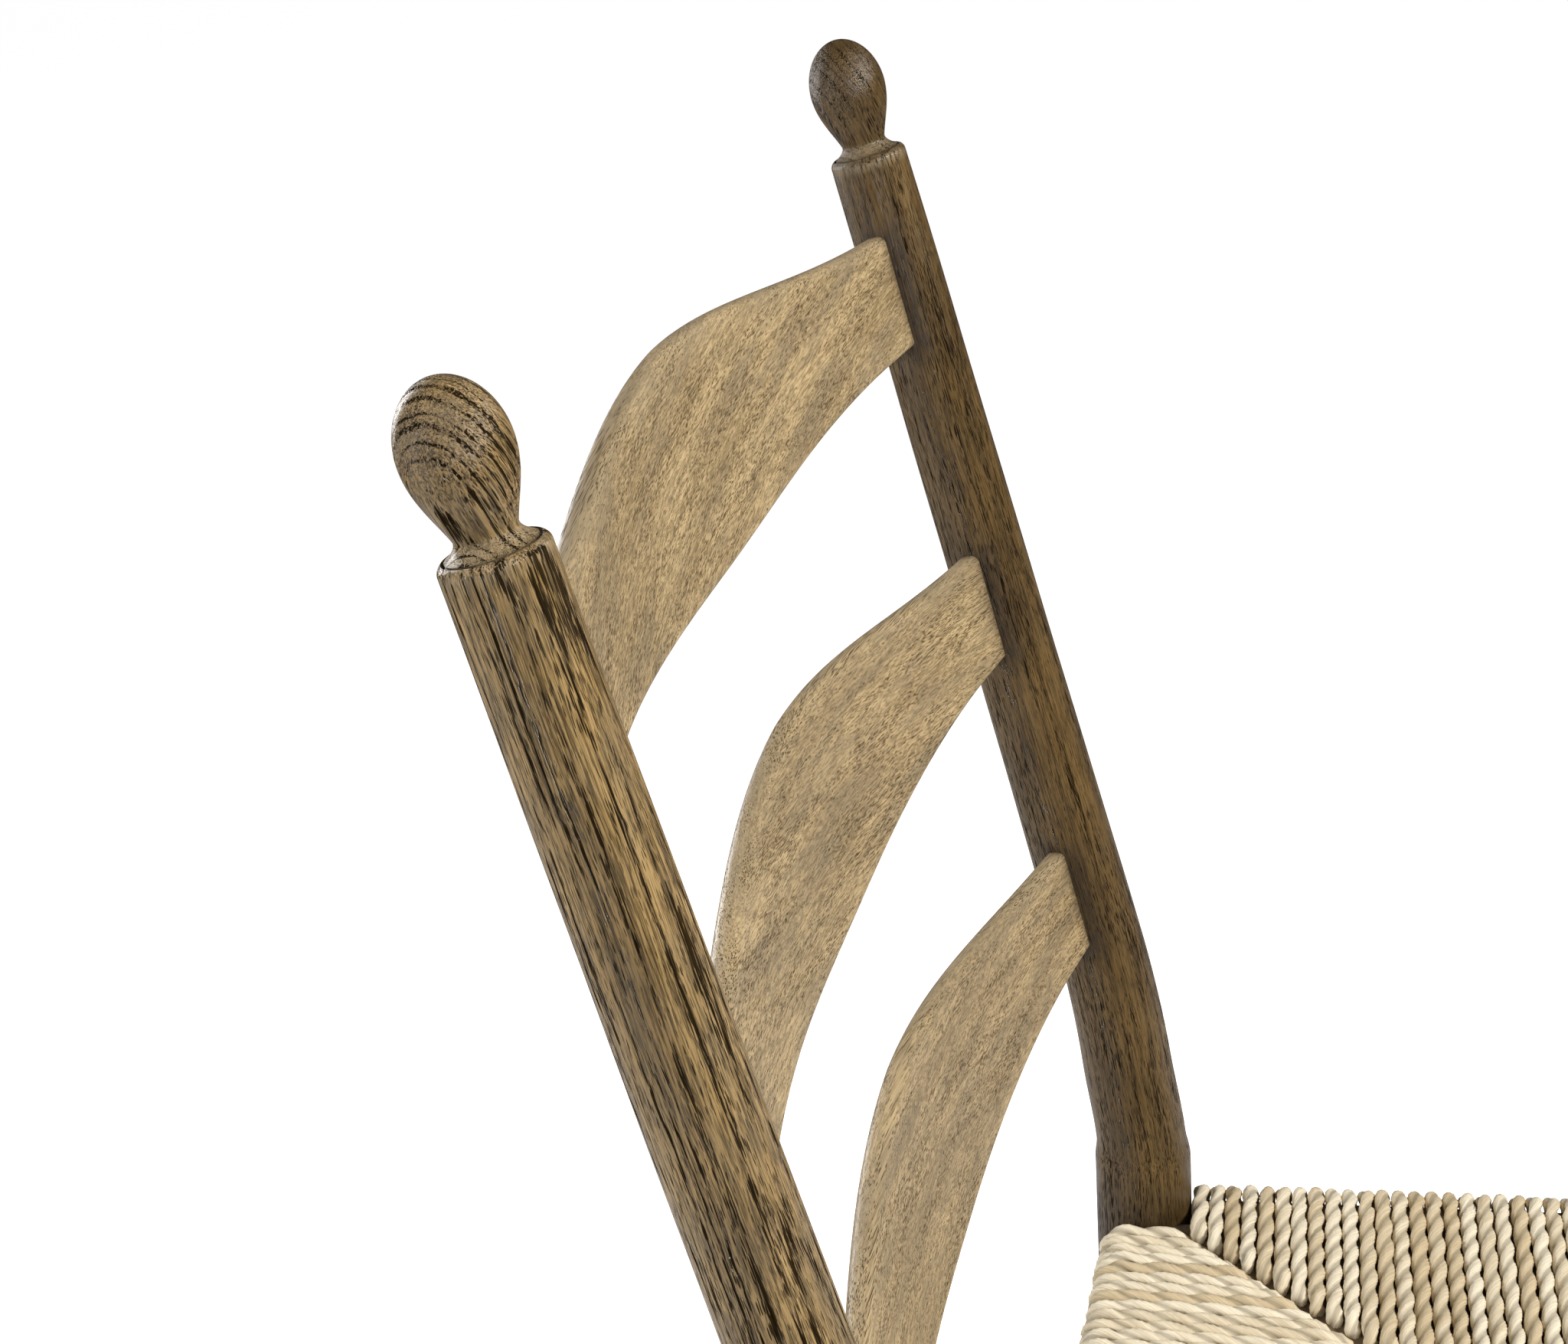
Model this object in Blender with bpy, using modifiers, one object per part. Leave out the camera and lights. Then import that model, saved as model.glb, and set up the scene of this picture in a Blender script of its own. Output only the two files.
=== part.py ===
"""Ladder-back chair with a rush seat, in metres, +Z up.

The sitter faces -Y. The origin is on the floor, under the middle of the chair's bounding box.
Every turned or shaped piece of wood is its own solid. Tenons sit in real mortises, with a
clearance all round, so the chair would come apart on a bench piece by piece.
"""

import math

import bmesh
import bpy
from mathutils import Matrix, Vector

MM = 0.001

# ---- Driving dimensions -------------------------------------------------------------------
SEAT_TOP = 450 * MM  # top of the rush over the front and rear rails
SIDE_RAIL_LIFT = 2 * MM  # the side rails sit this much above the front and rear rails
REAR_SPACING = 470 * MM  # back post centre to centre, at the seat
FRONT_SPACING = 516 * MM  # front leg centre to centre
SEAT_DEPTH = 396 * MM  # back post centre to front leg centre
BACK_RAKE = math.radians(13.4)  # lean of the posts above their bend
POST_SPLAY = math.radians(0.97)  # each post leans outwards by this above its bend
BEND_RISE = 77 * MM  # seat top to where the upper and lower axes of a post would cross
BEND_RADIUS = 536 * MM
UPPER_LENGTH = 449 * MM  # from that crossing to the shoulder under the finial

# ---- Back posts and front legs -------------------------------------------------------------
SHOULDER_RADIUS = 16.5 * MM
BEND_TOP_RADIUS = 20.4 * MM  # post radius at the top of its bend
BEND_LOW_RADIUS = 21.7 * MM  # post radius just above its knuckle
SEAT_RADIUS = 23.2 * MM  # leg radius at the seat
KNUCKLE_DROP = 42 * MM  # the post swells to full leg size this far below the crossing
KNUCKLE_LENGTH = 12 * MM
BEND_SET_BACK = 3 * MM  # the bent part stands this much behind the leg's own axis
FOOT_RADIUS = 17 * MM
FOOT_TAPER_HEIGHT = 190 * MM  # the leg is full size above this
FOOT_CHAMFER = 1.5 * MM
EGG_HEIGHT = 44.5 * MM  # top of the egg to the narrowest point of its neck
EGG_SHOULDER_DROP = 21 * MM  # top of the egg to its widest point
EGG_RADIUS = 16.2 * MM
EGG_TAIL_POWER = 1.15  # above 1 the egg draws in to its neck sooner
NECK_RADIUS = 9.4 * MM
COVE_RADIUS = 13.6 * MM  # where the cove under the neck meets the quirk line
COVE_HEIGHT = 4.7 * MM
BEAD_HEIGHT = 3.2 * MM
QUIRK_DEPTH = 0.5 * MM
FRONT_LEG_RISE = 15 * MM  # the front leg's rounded top stands this much above the side rush
FRONT_LEG_DOME = 9 * MM

# ---- Slats ------------------------------------------------------------------------------------
LOWEST_SLAT = 72 * MM  # bend crossing to the lower edge of the lowest slat's end
SLAT_PITCH = 148.4 * MM
SLAT_THICKNESS = 10 * MM
SLAT_END_HEIGHT = 49.4 * MM
SLAT_CROWN = 24.5 * MM  # rise of the top edge at mid span
CROWN_REACH = 0.97  # share of the half span that the crown's ogee takes up
OGEE_SHARE = 0.83  # share of the crown that is ogee; the rest is a plain slope
SLOPE_POWER = 0.8
SLAT_SAG = 7.9 * MM  # drop of the bottom edge at mid span
SAG_REACH = 0.82  # share of the half span that the sag takes up
SLAT_BOW = 28.3 * MM  # how far the slat is bent back at mid span
SLAT_TENON = 22 * MM  # how far a slat's end goes into its post
SLAT_TOP_ROUND = 3.8 * MM
SLAT_BOTTOM_ROUND = 1.8 * MM

# ---- Seat rails and rush ---------------------------------------------------------------------
RAIL_HEIGHT = 30 * MM
RAIL_WIDTH = 22 * MM
RAIL_EDGE_ROUND = 7 * MM
RAIL_TENON_RADIUS = 6.5 * MM
RAIL_TENON_LENGTH = 21 * MM
RAIL_TENON_OFFSET = 7 * MM  # tenons sit low on front and rear rails, high on side rails
CORD_THICKNESS = 8 * MM
RUSH_MIDDLE_RISE = 6 * MM  # seat centre above SEAT_TOP
RUSH_MIDDLE_THICKNESS = 30 * MM

# ---- Stretchers ------------------------------------------------------------------------------
FRONT_STRETCHER_HEIGHTS = (165 * MM, 300 * MM)
SIDE_STRETCHER_HEIGHTS = (130 * MM, 265 * MM)
REAR_STRETCHER_HEIGHT = 200 * MM
STRETCHER_RADIUS = 12 * MM
STRETCHER_END_RADIUS = 8.7 * MM
STRETCHER_TENON_RADIUS = 7.5 * MM
STRETCHER_TENON_LENGTH = 18 * MM
STRETCHER_TAPER_LENGTH = 60 * MM
STRETCHER_SWELL = 0.45  # share of the taper in which two thirds of its thickness is gained

# ---- Glides ----------------------------------------------------------------------------------
GLIDE_RADIUS = 12 * MM
GLIDE_HEIGHT = 5 * MM
GLIDE_NAIL_RADIUS = 1.4 * MM
GLIDE_NAIL_LENGTH = 16 * MM
GLIDE_CHAMFER = 1.2 * MM

# ---- Fits and facets -------------------------------------------------------------------------
CLEARANCE = 0.3 * MM  # gap between any two pieces that touch
POST_SIDES = 24
STRETCHER_SIDES = 14
TENON_SIDES = 12
GLIDE_SIDES = 16

# ---- Worked out from the above ---------------------------------------------------------------
BEND_HEIGHT = SEAT_TOP + BEND_RISE
HALF_REAR = REAR_SPACING / 2
HALF_FRONT = FRONT_SPACING / 2
HALF_DEPTH = SEAT_DEPTH / 2
BEND_TANGENT = BEND_RADIUS * math.tan(BACK_RAKE / 2)
BEND_START = BEND_HEIGHT - BEND_TANGENT
BEND_ARC = BEND_RADIUS * BACK_RAKE
BEND_END = BEND_START + BEND_ARC
KNUCKLE_HEIGHT = BEND_HEIGHT - KNUCKLE_DROP
RAIL_CENTRE = SEAT_TOP - CORD_THICKNESS - RAIL_HEIGHT / 2
SIDE_RAIL_CENTRE = RAIL_CENTRE + SIDE_RAIL_LIFT
LEG_BOTTOM = GLIDE_HEIGHT + CLEARANCE
FRONT_LEG_TOP = SEAT_TOP + SIDE_RAIL_LIFT + FRONT_LEG_RISE


# ---- Scene, materials and small helpers ------------------------------------------------------
def clear_scene():
    for obj in list(bpy.data.objects):
        bpy.data.objects.remove(obj)


def make_material(name, colour, roughness):
    material = bpy.data.materials.new(name)
    material.use_nodes = True
    shader = material.node_tree.nodes["Principled BSDF"]
    shader.inputs["Base Color"].default_value = (*colour, 1)
    shader.inputs["Roughness"].default_value = roughness
    shader.inputs["Metallic"].default_value = 0
    return material


def new_collection(name):
    collection = bpy.data.collections.new(name)
    bpy.context.scene.collection.children.link(collection)
    return collection


def add_part(name, mesh, material):
    obj = bpy.data.objects.new(name, mesh)
    mesh.materials.clear()
    mesh.materials.append(material)
    chair.objects.link(obj)
    obj.parent = origin
    return obj


def add_cutter(name, mesh):
    obj = bpy.data.objects.new(name, mesh)
    cutters.objects.link(obj)
    obj.parent = origin
    obj.hide_render = True
    obj.display_type = "WIRE"
    return obj


def boolean(obj, other, operation="DIFFERENCE"):
    modifier = obj.modifiers.new(operation.title(), "BOOLEAN")
    modifier.operation = operation
    modifier.object = other


def cut(obj, *others):
    for other in others:
        boolean(obj, other)


def mesh_of(bm, name):
    bmesh.ops.recalc_face_normals(bm, faces=bm.faces)
    mesh = bpy.data.meshes.new(name)
    bm.to_mesh(mesh)
    bm.free()
    return mesh


def evaluated_mesh(obj):
    """The object's mesh with its modifiers applied. The object itself is removed."""
    graph = bpy.context.evaluated_depsgraph_get()
    mesh = bpy.data.meshes.new_from_object(obj.evaluated_get(graph))
    bpy.data.objects.remove(obj)
    return mesh


def shade_round(mesh, angle=40):
    mesh.shade_smooth()
    mesh.set_sharp_from_angle(angle=math.radians(angle))


def turned_mesh(name, profile, sides):
    """A piece turned about Z. The profile is (radius, height) points, top to bottom, ending on the axis."""
    mesh = bpy.data.meshes.new(name)
    points = [(radius, 0, height) for radius, height in profile]
    mesh.from_pydata(points, [(i, i + 1) for i in range(len(points) - 1)], [])
    obj = bpy.data.objects.new(name, mesh)
    bpy.context.scene.collection.objects.link(obj)
    screw = obj.modifiers.new("Screw", "SCREW")
    screw.axis = "Z"
    screw.steps = screw.render_steps = sides
    screw.use_merge_vertices = True
    screw.merge_threshold = 0.00001
    bpy.context.view_layer.update()
    mesh = evaluated_mesh(obj)
    shade_round(mesh)
    return mesh


def rod_mesh(name, start, end, radius, sides):
    """A plain round rod between two points."""
    start, end = Vector(start), Vector(end)
    axis = end - start
    bm = bmesh.new()
    bmesh.ops.create_cone(
        bm, cap_ends=True, segments=sides, radius1=radius, radius2=radius, depth=axis.length
    )
    turn = axis.to_track_quat("Z", "Y").to_matrix().to_4x4()
    bmesh.ops.transform(bm, matrix=Matrix.Translation((start + end) / 2) @ turn, verts=bm.verts)
    return mesh_of(bm, name)


def smooth_step(t):
    return t * t * (3 - 2 * t)


# ---- The bent axis of a back post ------------------------------------------------------------
def set_back(s):
    """How far the post's axis has moved back from the leg's, at distance s up from the floor."""
    low = KNUCKLE_HEIGHT - KNUCKLE_LENGTH
    return BEND_SET_BACK * smooth_step(min(max((s - low) / (BEND_HEIGHT - low), 0), 1))


def along_post(side, s, across=0.0, fore_aft=0.0):
    """The point at distance s up a back post's axis, offset within its cross-section."""
    angle = min(max((s - BEND_START) / BEND_RADIUS, 0), BACK_RAKE)
    above = max(s - BEND_START, 0)
    beyond = max(above - BEND_ARC, 0)
    y = BEND_RADIUS * (1 - math.cos(angle)) + beyond * math.sin(angle) + set_back(s)
    z = min(s, BEND_START) + BEND_RADIUS * math.sin(angle) + beyond * math.cos(angle)
    x = side * (HALF_REAR + above * math.tan(POST_SPLAY)) + across
    return Vector((x, y + fore_aft * math.cos(angle), z - fore_aft * math.sin(angle)))


def above_bend(v):
    """Distance up the post's axis, for a distance v above the crossing of its two axes."""
    return BEND_END + v - BEND_TANGENT


SHOULDER = above_bend(UPPER_LENGTH)


def post_radius(s):
    """Radius of a back post at distance s up its axis, from the knuckle to the shoulder."""
    if s > BEND_END:
        t = (s - BEND_END) / (SHOULDER - BEND_END)
        return BEND_TOP_RADIUS + (SHOULDER_RADIUS - BEND_TOP_RADIUS) * t
    t = (s - KNUCKLE_HEIGHT) / (BEND_END - KNUCKLE_HEIGHT)
    return BEND_LOW_RADIUS + (BEND_TOP_RADIUS - BEND_LOW_RADIUS) * t


# ---- Back posts ------------------------------------------------------------------------------
def finial_profile():
    """Egg, neck, cove, quirk line and rounded shoulder: (radius, height above the shoulder)."""
    base = BEAD_HEIGHT + COVE_HEIGHT
    top = base + EGG_HEIGHT
    points = []
    for i in range(7):  # upper part of the egg, a quarter ellipse
        angle = math.radians(15 * i)
        drop = EGG_SHOULDER_DROP * (1 - math.cos(angle))
        points.append((EGG_RADIUS * math.sin(angle), top - drop))
    tail = EGG_HEIGHT - EGG_SHOULDER_DROP
    for t in (0.2, 0.4, 0.6, 0.75, 0.88):  # lower part, a quarter cosine down to the neck
        radius = NECK_RADIUS + (EGG_RADIUS - NECK_RADIUS) * math.cos(t * math.pi / 2) ** EGG_TAIL_POWER
        points.append((radius, top - EGG_SHOULDER_DROP - tail * t))
    for t in (0, 0.45, 0.8, 1):  # cove, flaring to the quirk line
        points.append((NECK_RADIUS + (COVE_RADIUS - NECK_RADIUS) * t * t, base - COVE_HEIGHT * t))
    points.append((COVE_RADIUS, BEAD_HEIGHT - QUIRK_DEPTH))
    for angle in (20, 45, 70, 90):  # rounded shoulder, a quarter ellipse
        a = math.radians(angle)
        spread = COVE_RADIUS + (SHOULDER_RADIUS - COVE_RADIUS) * math.sin(a)
        points.append((spread, BEAD_HEIGHT * math.cos(a)))
    return points


def leg_radius(height):
    """A leg tapers to its foot below FOOT_TAPER_HEIGHT."""
    t = min(height / FOOT_TAPER_HEIGHT, 1)
    return FOOT_RADIUS + (SEAT_RADIUS - FOOT_RADIUS) * math.sin(t * math.pi / 2)


def foot_profile():
    """The tapered foot, from full size down to the middle of its flat underside."""
    heights = [FOOT_TAPER_HEIGHT * f for f in (1, 0.72, 0.48, 0.27, 0.1)]
    points = [(leg_radius(h), h) for h in heights]
    edge = leg_radius(0)
    points.append((edge, LEG_BOTTOM + FOOT_CHAMFER))
    points.append((edge - FOOT_CHAMFER, LEG_BOTTOM))
    points.append((0, LEG_BOTTOM))
    return points


def post_profile():
    points = [(radius, SHOULDER + height) for radius, height in finial_profile()]
    steps = 9
    heights = [SHOULDER + (BEND_END - SHOULDER) * t for t in (0.33, 0.67)]
    heights += [BEND_END + (KNUCKLE_HEIGHT - BEND_END) * i / steps for i in range(steps + 1)]
    points += [(post_radius(s), s) for s in heights]
    points.append((SEAT_RADIUS, KNUCKLE_HEIGHT - KNUCKLE_LENGTH))
    points.append((SEAT_RADIUS, SEAT_TOP))
    return points + foot_profile()


def make_back_post(name, side):
    """Turned straight, then bent back above the seat and splayed outwards."""
    mesh = turned_mesh(name, post_profile(), POST_SIDES)
    for vertex in mesh.vertices:
        x, y, s = vertex.co
        vertex.co = along_post(side, s, x, y)
    return add_part(name, mesh, oak)


# ---- Front legs ------------------------------------------------------------------------------
def front_leg_profile():
    points = []
    for angle in (0, 30, 55, 75, 90):
        a = math.radians(angle)
        points.append((SEAT_RADIUS * math.sin(a), FRONT_LEG_TOP - FRONT_LEG_DOME * (1 - math.cos(a))))
    points.append((SEAT_RADIUS, SEAT_TOP / 2))
    return points + foot_profile()


def make_front_leg(name, side):
    mesh = turned_mesh(name, front_leg_profile(), POST_SIDES)
    mesh.transform(Matrix.Translation(seat_corner(side, True)))
    return add_part(name, mesh, oak)


# ---- Slats -----------------------------------------------------------------------------------
def slat_crown(u):
    """Rise of the top edge at u, 0 at mid span and 1 at the posts: an ogee."""
    ogee = OGEE_SHARE * smooth_step(max(0, 1 - u / CROWN_REACH))
    return SLAT_CROWN * (ogee + (1 - OGEE_SHARE) * (1 - u) ** SLOPE_POWER)


def slat_sag(u):
    """Drop of the bottom edge at u."""
    return SLAT_SAG * smooth_step(max(0, 1 - u / SAG_REACH))


def slat_half_span(index):
    """Mid plane to the post axis, at the middle of a slat's end."""
    v = LOWEST_SLAT + SLAT_PITCH * index + SLAT_END_HEIGHT / 2
    return along_post(1, above_bend(v)).x


def slat_section(index, u, grow):
    """The slat's section at u, as (up the post, back) points, with its four corners rounded."""
    u = min(abs(u), 1)
    low = LOWEST_SLAT + SLAT_PITCH * index - slat_sag(u) - grow
    high = LOWEST_SLAT + SLAT_PITCH * index + SLAT_END_HEIGHT + slat_crown(u) + grow
    half = SLAT_THICKNESS / 2 + grow
    middle = SLAT_BOW * (1 - u * u)
    corners = (
        (high, half, SLAT_TOP_ROUND, 0),
        (low, half, SLAT_BOTTOM_ROUND, 90),
        (low, -half, SLAT_BOTTOM_ROUND, 180),
        (high, -half, SLAT_TOP_ROUND, 270),
    )
    points = []
    for v, w, r, start in corners:
        centre_v = v - r if v == high else v + r
        centre_w = middle + math.copysign(abs(w) - r, w)
        for step in (0, 45, 90):
            a = math.radians(start + step)
            points.append((centre_v + r * math.cos(a), centre_w + r * math.sin(a)))
    return points


def slat_mesh(name, index, grow=0.0, extra=0.0, steps=28):
    """Sections lofted from one tenon's end to the other, then laid in the plane of the raked posts."""
    half_span = slat_half_span(index)
    s_mid = above_bend(LOWEST_SLAT + SLAT_PITCH * index + SLAT_END_HEIGHT / 2)
    radius = post_radius(s_mid)
    reach = (half_span - radius + SLAT_TENON + extra) / half_span
    up = Vector((0, math.sin(BACK_RAKE), math.cos(BACK_RAKE)))
    back = Vector((0, math.cos(BACK_RAKE), -math.sin(BACK_RAKE)))
    bm = bmesh.new()
    rings = []
    for i in range(steps + 1):
        u = -reach + 2 * reach * i / steps
        ring = []
        for v, w in slat_section(index, u, grow):
            place = Vector((u * half_span, BEND_SET_BACK, BEND_HEIGHT)) + v * up + w * back
            ring.append(bm.verts.new(place))
        rings.append(ring)
    for first, second in zip(rings, rings[1:]):
        for j in range(len(first)):
            k = (j + 1) % len(first)
            bm.faces.new((first[j], first[k], second[k], second[j]))
    bm.faces.new(rings[0])
    bm.faces.new(rings[-1])
    mesh = mesh_of(bm, name)
    shade_round(mesh)
    return mesh


def make_slats(posts):
    for index, name in enumerate(("bottom_slat", "middle_slat", "top_slat")):
        add_part(name, slat_mesh(name, index), oak_pale)
        mortise = add_cutter(name + "_mortises", slat_mesh("mortise", index, CLEARANCE, CLEARANCE))
        for post in posts:
            cut(post, mortise)


# ---- Rails and stretchers: a shaped middle and a round tenon at each end ------------------------
def laid_between(mesh, start, end, lift=0.0):
    """Lay a mesh made along Z between two points. Its own Y ends up on top."""
    axis = end - start
    turn = axis.to_track_quat("Z", "Y").to_matrix().to_4x4()
    mesh.transform(Matrix.Translation((start + end) / 2 + Vector((0, 0, lift))) @ turn)


def tenoned_bar(name, start, end, middle, tenon_radius, tenon_length, leg, lift=0.0):
    """A bar between two leg axes, start and end. leg is the legs' radius there.

    middle(length) makes the shaped part along Z. lift raises the tenons above the bar's own axis.
    """
    length = (end - start).length
    obj = bpy.data.objects.new(name, middle(length - 2 * (leg + CLEARANCE)))
    bpy.context.scene.collection.objects.link(obj)
    reach = length / 2 - leg + tenon_length
    rod = rod_mesh(name, (0, lift, -reach), (0, lift, reach), tenon_radius, TENON_SIDES)
    tenons = add_cutter(name + "_tenons", rod)
    boolean(obj, tenons, "UNION")
    bpy.context.view_layer.update()
    mesh = evaluated_mesh(obj)
    bpy.data.objects.remove(tenons)
    laid_between(mesh, start, end)
    shade_round(mesh)
    return mesh


def mortises(name, start, end, tenon_radius, tenon_length, leg, lift=0.0):
    """One cutter for the round mortises at both ends of a bar."""
    reach = (end - start).length / 2 - leg + tenon_length + CLEARANCE
    mesh = rod_mesh(name, (0, 0, -reach), (0, 0, reach), tenon_radius + CLEARANCE, TENON_SIDES)
    laid_between(mesh, start, end, lift)
    return add_cutter(name + "_mortises", mesh)


def rail_middle(length):
    """A rail's middle: a plank with rounded edges, its height along Y until it is laid."""
    bm = bmesh.new()
    bmesh.ops.create_cube(bm, size=1)
    bmesh.ops.scale(bm, vec=(RAIL_WIDTH, RAIL_HEIGHT, length), verts=bm.verts)
    long_edges = [e for e in bm.edges if abs(e.verts[0].co.z - e.verts[1].co.z) > length / 2]
    bmesh.ops.bevel(
        bm, geom=long_edges, offset=RAIL_EDGE_ROUND, segments=3, profile=0.5, affect="EDGES"
    )
    return mesh_of(bm, "rail_middle")


def stretcher_middle(length):
    """A turned stretcher's middle: full size, tapering towards both tenons."""
    half = length / 2
    two_thirds = (STRETCHER_END_RADIUS + 2 * STRETCHER_RADIUS) / 3
    top = [
        (0, half),
        (STRETCHER_END_RADIUS, half),
        (two_thirds, half - STRETCHER_TAPER_LENGTH * STRETCHER_SWELL),
        (STRETCHER_RADIUS, half - STRETCHER_TAPER_LENGTH),
    ]
    bottom = [(radius, -height) for radius, height in reversed(top)]
    return turned_mesh("stretcher_middle", top + bottom, STRETCHER_SIDES)


def make_rail(name, start, end, lift, posts):
    size = (RAIL_TENON_RADIUS, RAIL_TENON_LENGTH, SEAT_RADIUS, lift)
    add_part(name, tenoned_bar(name, start, end, rail_middle, *size), oak_raw)
    holes = mortises(name, start, end, *size)
    for post in posts:
        cut(post, holes)


def make_stretcher(name, start, end, posts):
    size = (STRETCHER_TENON_RADIUS, STRETCHER_TENON_LENGTH, leg_radius(start.z))
    add_part(name, tenoned_bar(name, start, end, stretcher_middle, *size), oak)
    holes = mortises(name, start, end, *size)
    for post in posts:
        cut(post, holes)


# ---- Rush seat -------------------------------------------------------------------------------
def seat_corner(side, front):
    """Plan position of a leg's axis."""
    x = side * (HALF_FRONT if front else HALF_REAR)
    return Vector((x, -SEAT_DEPTH if front else 0, 0))


def seat_apex(side):
    """Where the mitres from one side's two corners meet."""
    return Vector((side * ((HALF_REAR + HALF_FRONT) / 2 - HALF_DEPTH), -HALF_DEPTH, 0))


def rail_axes(corners):
    """Unit vectors along a rail and outwards from the seat, and the rail's middle, in plan."""
    along = (corners[1] - corners[0]).normalized()
    middle = (corners[0] + corners[1]) / 2
    outward = Vector((0, 0, 1)).cross(along)
    if outward.dot(middle - Vector((0, -HALF_DEPTH, 0))) < 0:
        along.negate()
        outward.negate()
    return along, outward, middle


def cord_path(centre, inset):
    """(outward, height) points from the seat's middle, over the rail, round it and back underneath.

    inset 0 is the outside of the cords, and CORD_THICKNESS is their inside.
    """
    flat = RAIL_WIDTH / 2 - RAIL_EDGE_ROUND
    r = RAIL_EDGE_ROUND + CORD_THICKNESS - inset
    half = RAIL_HEIGHT / 2 + CORD_THICKNESS - inset
    top = SEAT_TOP + RUSH_MIDDLE_RISE
    points = [(-HALF_DEPTH, top - inset), (-flat, centre + half)]
    for start, end_sign in ((90, 1), (0, -1)):
        for step in (0, -30, -60, -90):
            a = math.radians(start + step)
            height = centre + end_sign * (half - r) + r * math.sin(a)
            points.append((flat + r * math.cos(a), height))
    points += [(-flat, centre - half), (-HALF_DEPTH, top - RUSH_MIDDLE_THICKNESS + inset)]
    return points


def pad_section(centre):
    """The space between the upper and lower cords, from the rail inwards to the seat's middle."""
    path = cord_path(centre, CORD_THICKNESS + CLEARANCE)
    start = -RAIL_WIDTH / 2 - CLEARANCE
    section = []
    for (y0, z0), (y1, z1) in ((path[0], path[1]), (path[-1], path[-2])):
        t = (start - y0) / (y1 - y0)
        section += [(y0, z0), (start, z0 + (z1 - z0) * t)]
    return [section[0], section[1], section[3], section[2]]


def wedge(name, corners, apexes, section, material, legs_cutter):
    """A section drawn out along a rail and cut to one of the seat's four wedges in plan."""
    along, outward, middle = rail_axes(corners)
    length = (corners[1] - corners[0]).length
    bm = bmesh.new()
    end = middle - along * length / 2
    ring = [bm.verts.new(end + outward * y + Vector((0, 0, z))) for y, z in section]
    face = bm.faces.new(ring)
    drawn = bmesh.ops.extrude_face_region(bm, geom=[face])["geom"]
    far_end = [g for g in drawn if isinstance(g, bmesh.types.BMVert)]
    bmesh.ops.translate(bm, vec=along * length, verts=far_end)
    obj = add_part(name, mesh_of(bm, name), material)
    beyond = outward * 3 * RAIL_WIDTH
    outline = [corners[0], corners[0] + beyond, corners[1] + beyond, corners[1]] + apexes
    boolean(obj, plan_prism(name + "_mitres", shrunk(outline, CLEARANCE)), "INTERSECT")
    cut(obj, legs_cutter)


def shrunk(outline, amount):
    """A convex plan outline moved inwards by amount on every side."""
    middle = sum(outline, Vector()) / len(outline)
    moved = []
    for i, here in enumerate(outline):
        normals = []
        for other in (outline[i - 1], outline[(i + 1) % len(outline)]):
            edge = (other - here).normalized()
            normal = Vector((-edge.y, edge.x, 0))
            if normal.dot(middle - here) < 0:
                normal.negate()
            normals.append(normal)
        step = amount / (1 + normals[0].dot(normals[1]))
        moved.append(here + (normals[0] + normals[1]) * step)
    return moved


def plan_prism(name, outline):
    """A cutter: a plan outline drawn up through the whole depth of the seat."""
    low, high = SEAT_TOP - 4 * RAIL_HEIGHT, SEAT_TOP + 4 * RAIL_HEIGHT
    bm = bmesh.new()
    face = bm.faces.new([bm.verts.new((p.x, p.y, low)) for p in outline])
    drawn = bmesh.ops.extrude_face_region(bm, geom=[face])["geom"]
    tops = [g for g in drawn if isinstance(g, bmesh.types.BMVert)]
    bmesh.ops.translate(bm, vec=(0, 0, high - low), verts=tops)
    return add_cutter(name, mesh_of(bm, name))


def legs_clearance():
    """One cutter with a round rod up each leg, which the seat's cords and stuffing stop short of."""
    bm = bmesh.new()
    for side in (-1, 1):
        for front in (False, True):
            made = bmesh.ops.create_cone(
                bm,
                cap_ends=True,
                segments=POST_SIDES,
                radius1=SEAT_RADIUS + CLEARANCE,
                radius2=SEAT_RADIUS + CLEARANCE,
                depth=6 * RAIL_HEIGHT,
            )
            place = seat_corner(side, front) + Vector((0, 0, SEAT_TOP))
            bmesh.ops.translate(bm, vec=place, verts=made["verts"])
    return add_cutter("legs_clearance", mesh_of(bm, "legs_clearance"))


def make_seat(legs):
    rear_left, rear_right = seat_corner(1, False), seat_corner(-1, False)
    front_left, front_right = seat_corner(1, True), seat_corner(-1, True)
    left, right = seat_apex(1), seat_apex(-1)
    around_legs = legs_clearance()
    for key, corners, apexes, centre, lift in (
        ("rear", (rear_right, rear_left), [left, right], RAIL_CENTRE, -RAIL_TENON_OFFSET),
        ("front", (front_right, front_left), [left, right], RAIL_CENTRE, -RAIL_TENON_OFFSET),
        ("left", (rear_left, front_left), [left], SIDE_RAIL_CENTRE, RAIL_TENON_OFFSET),
        ("right", (rear_right, front_right), [right], SIDE_RAIL_CENTRE, RAIL_TENON_OFFSET),
    ):
        height = Vector((0, 0, centre))
        joined = [leg for leg, foot in legs if foot in corners]
        make_rail(f"{key}_rail", corners[0] + height, corners[1] + height, lift, joined)
        outside = cord_path(centre, 0)
        inside = cord_path(centre, CORD_THICKNESS - CLEARANCE)
        cords = outside + inside[::-1]
        wedge(f"rush_{key}", corners, apexes, cords, rush, around_legs)
        wedge(f"stuffing_{key}", corners, apexes, pad_section(centre), stuffing, around_legs)


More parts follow.
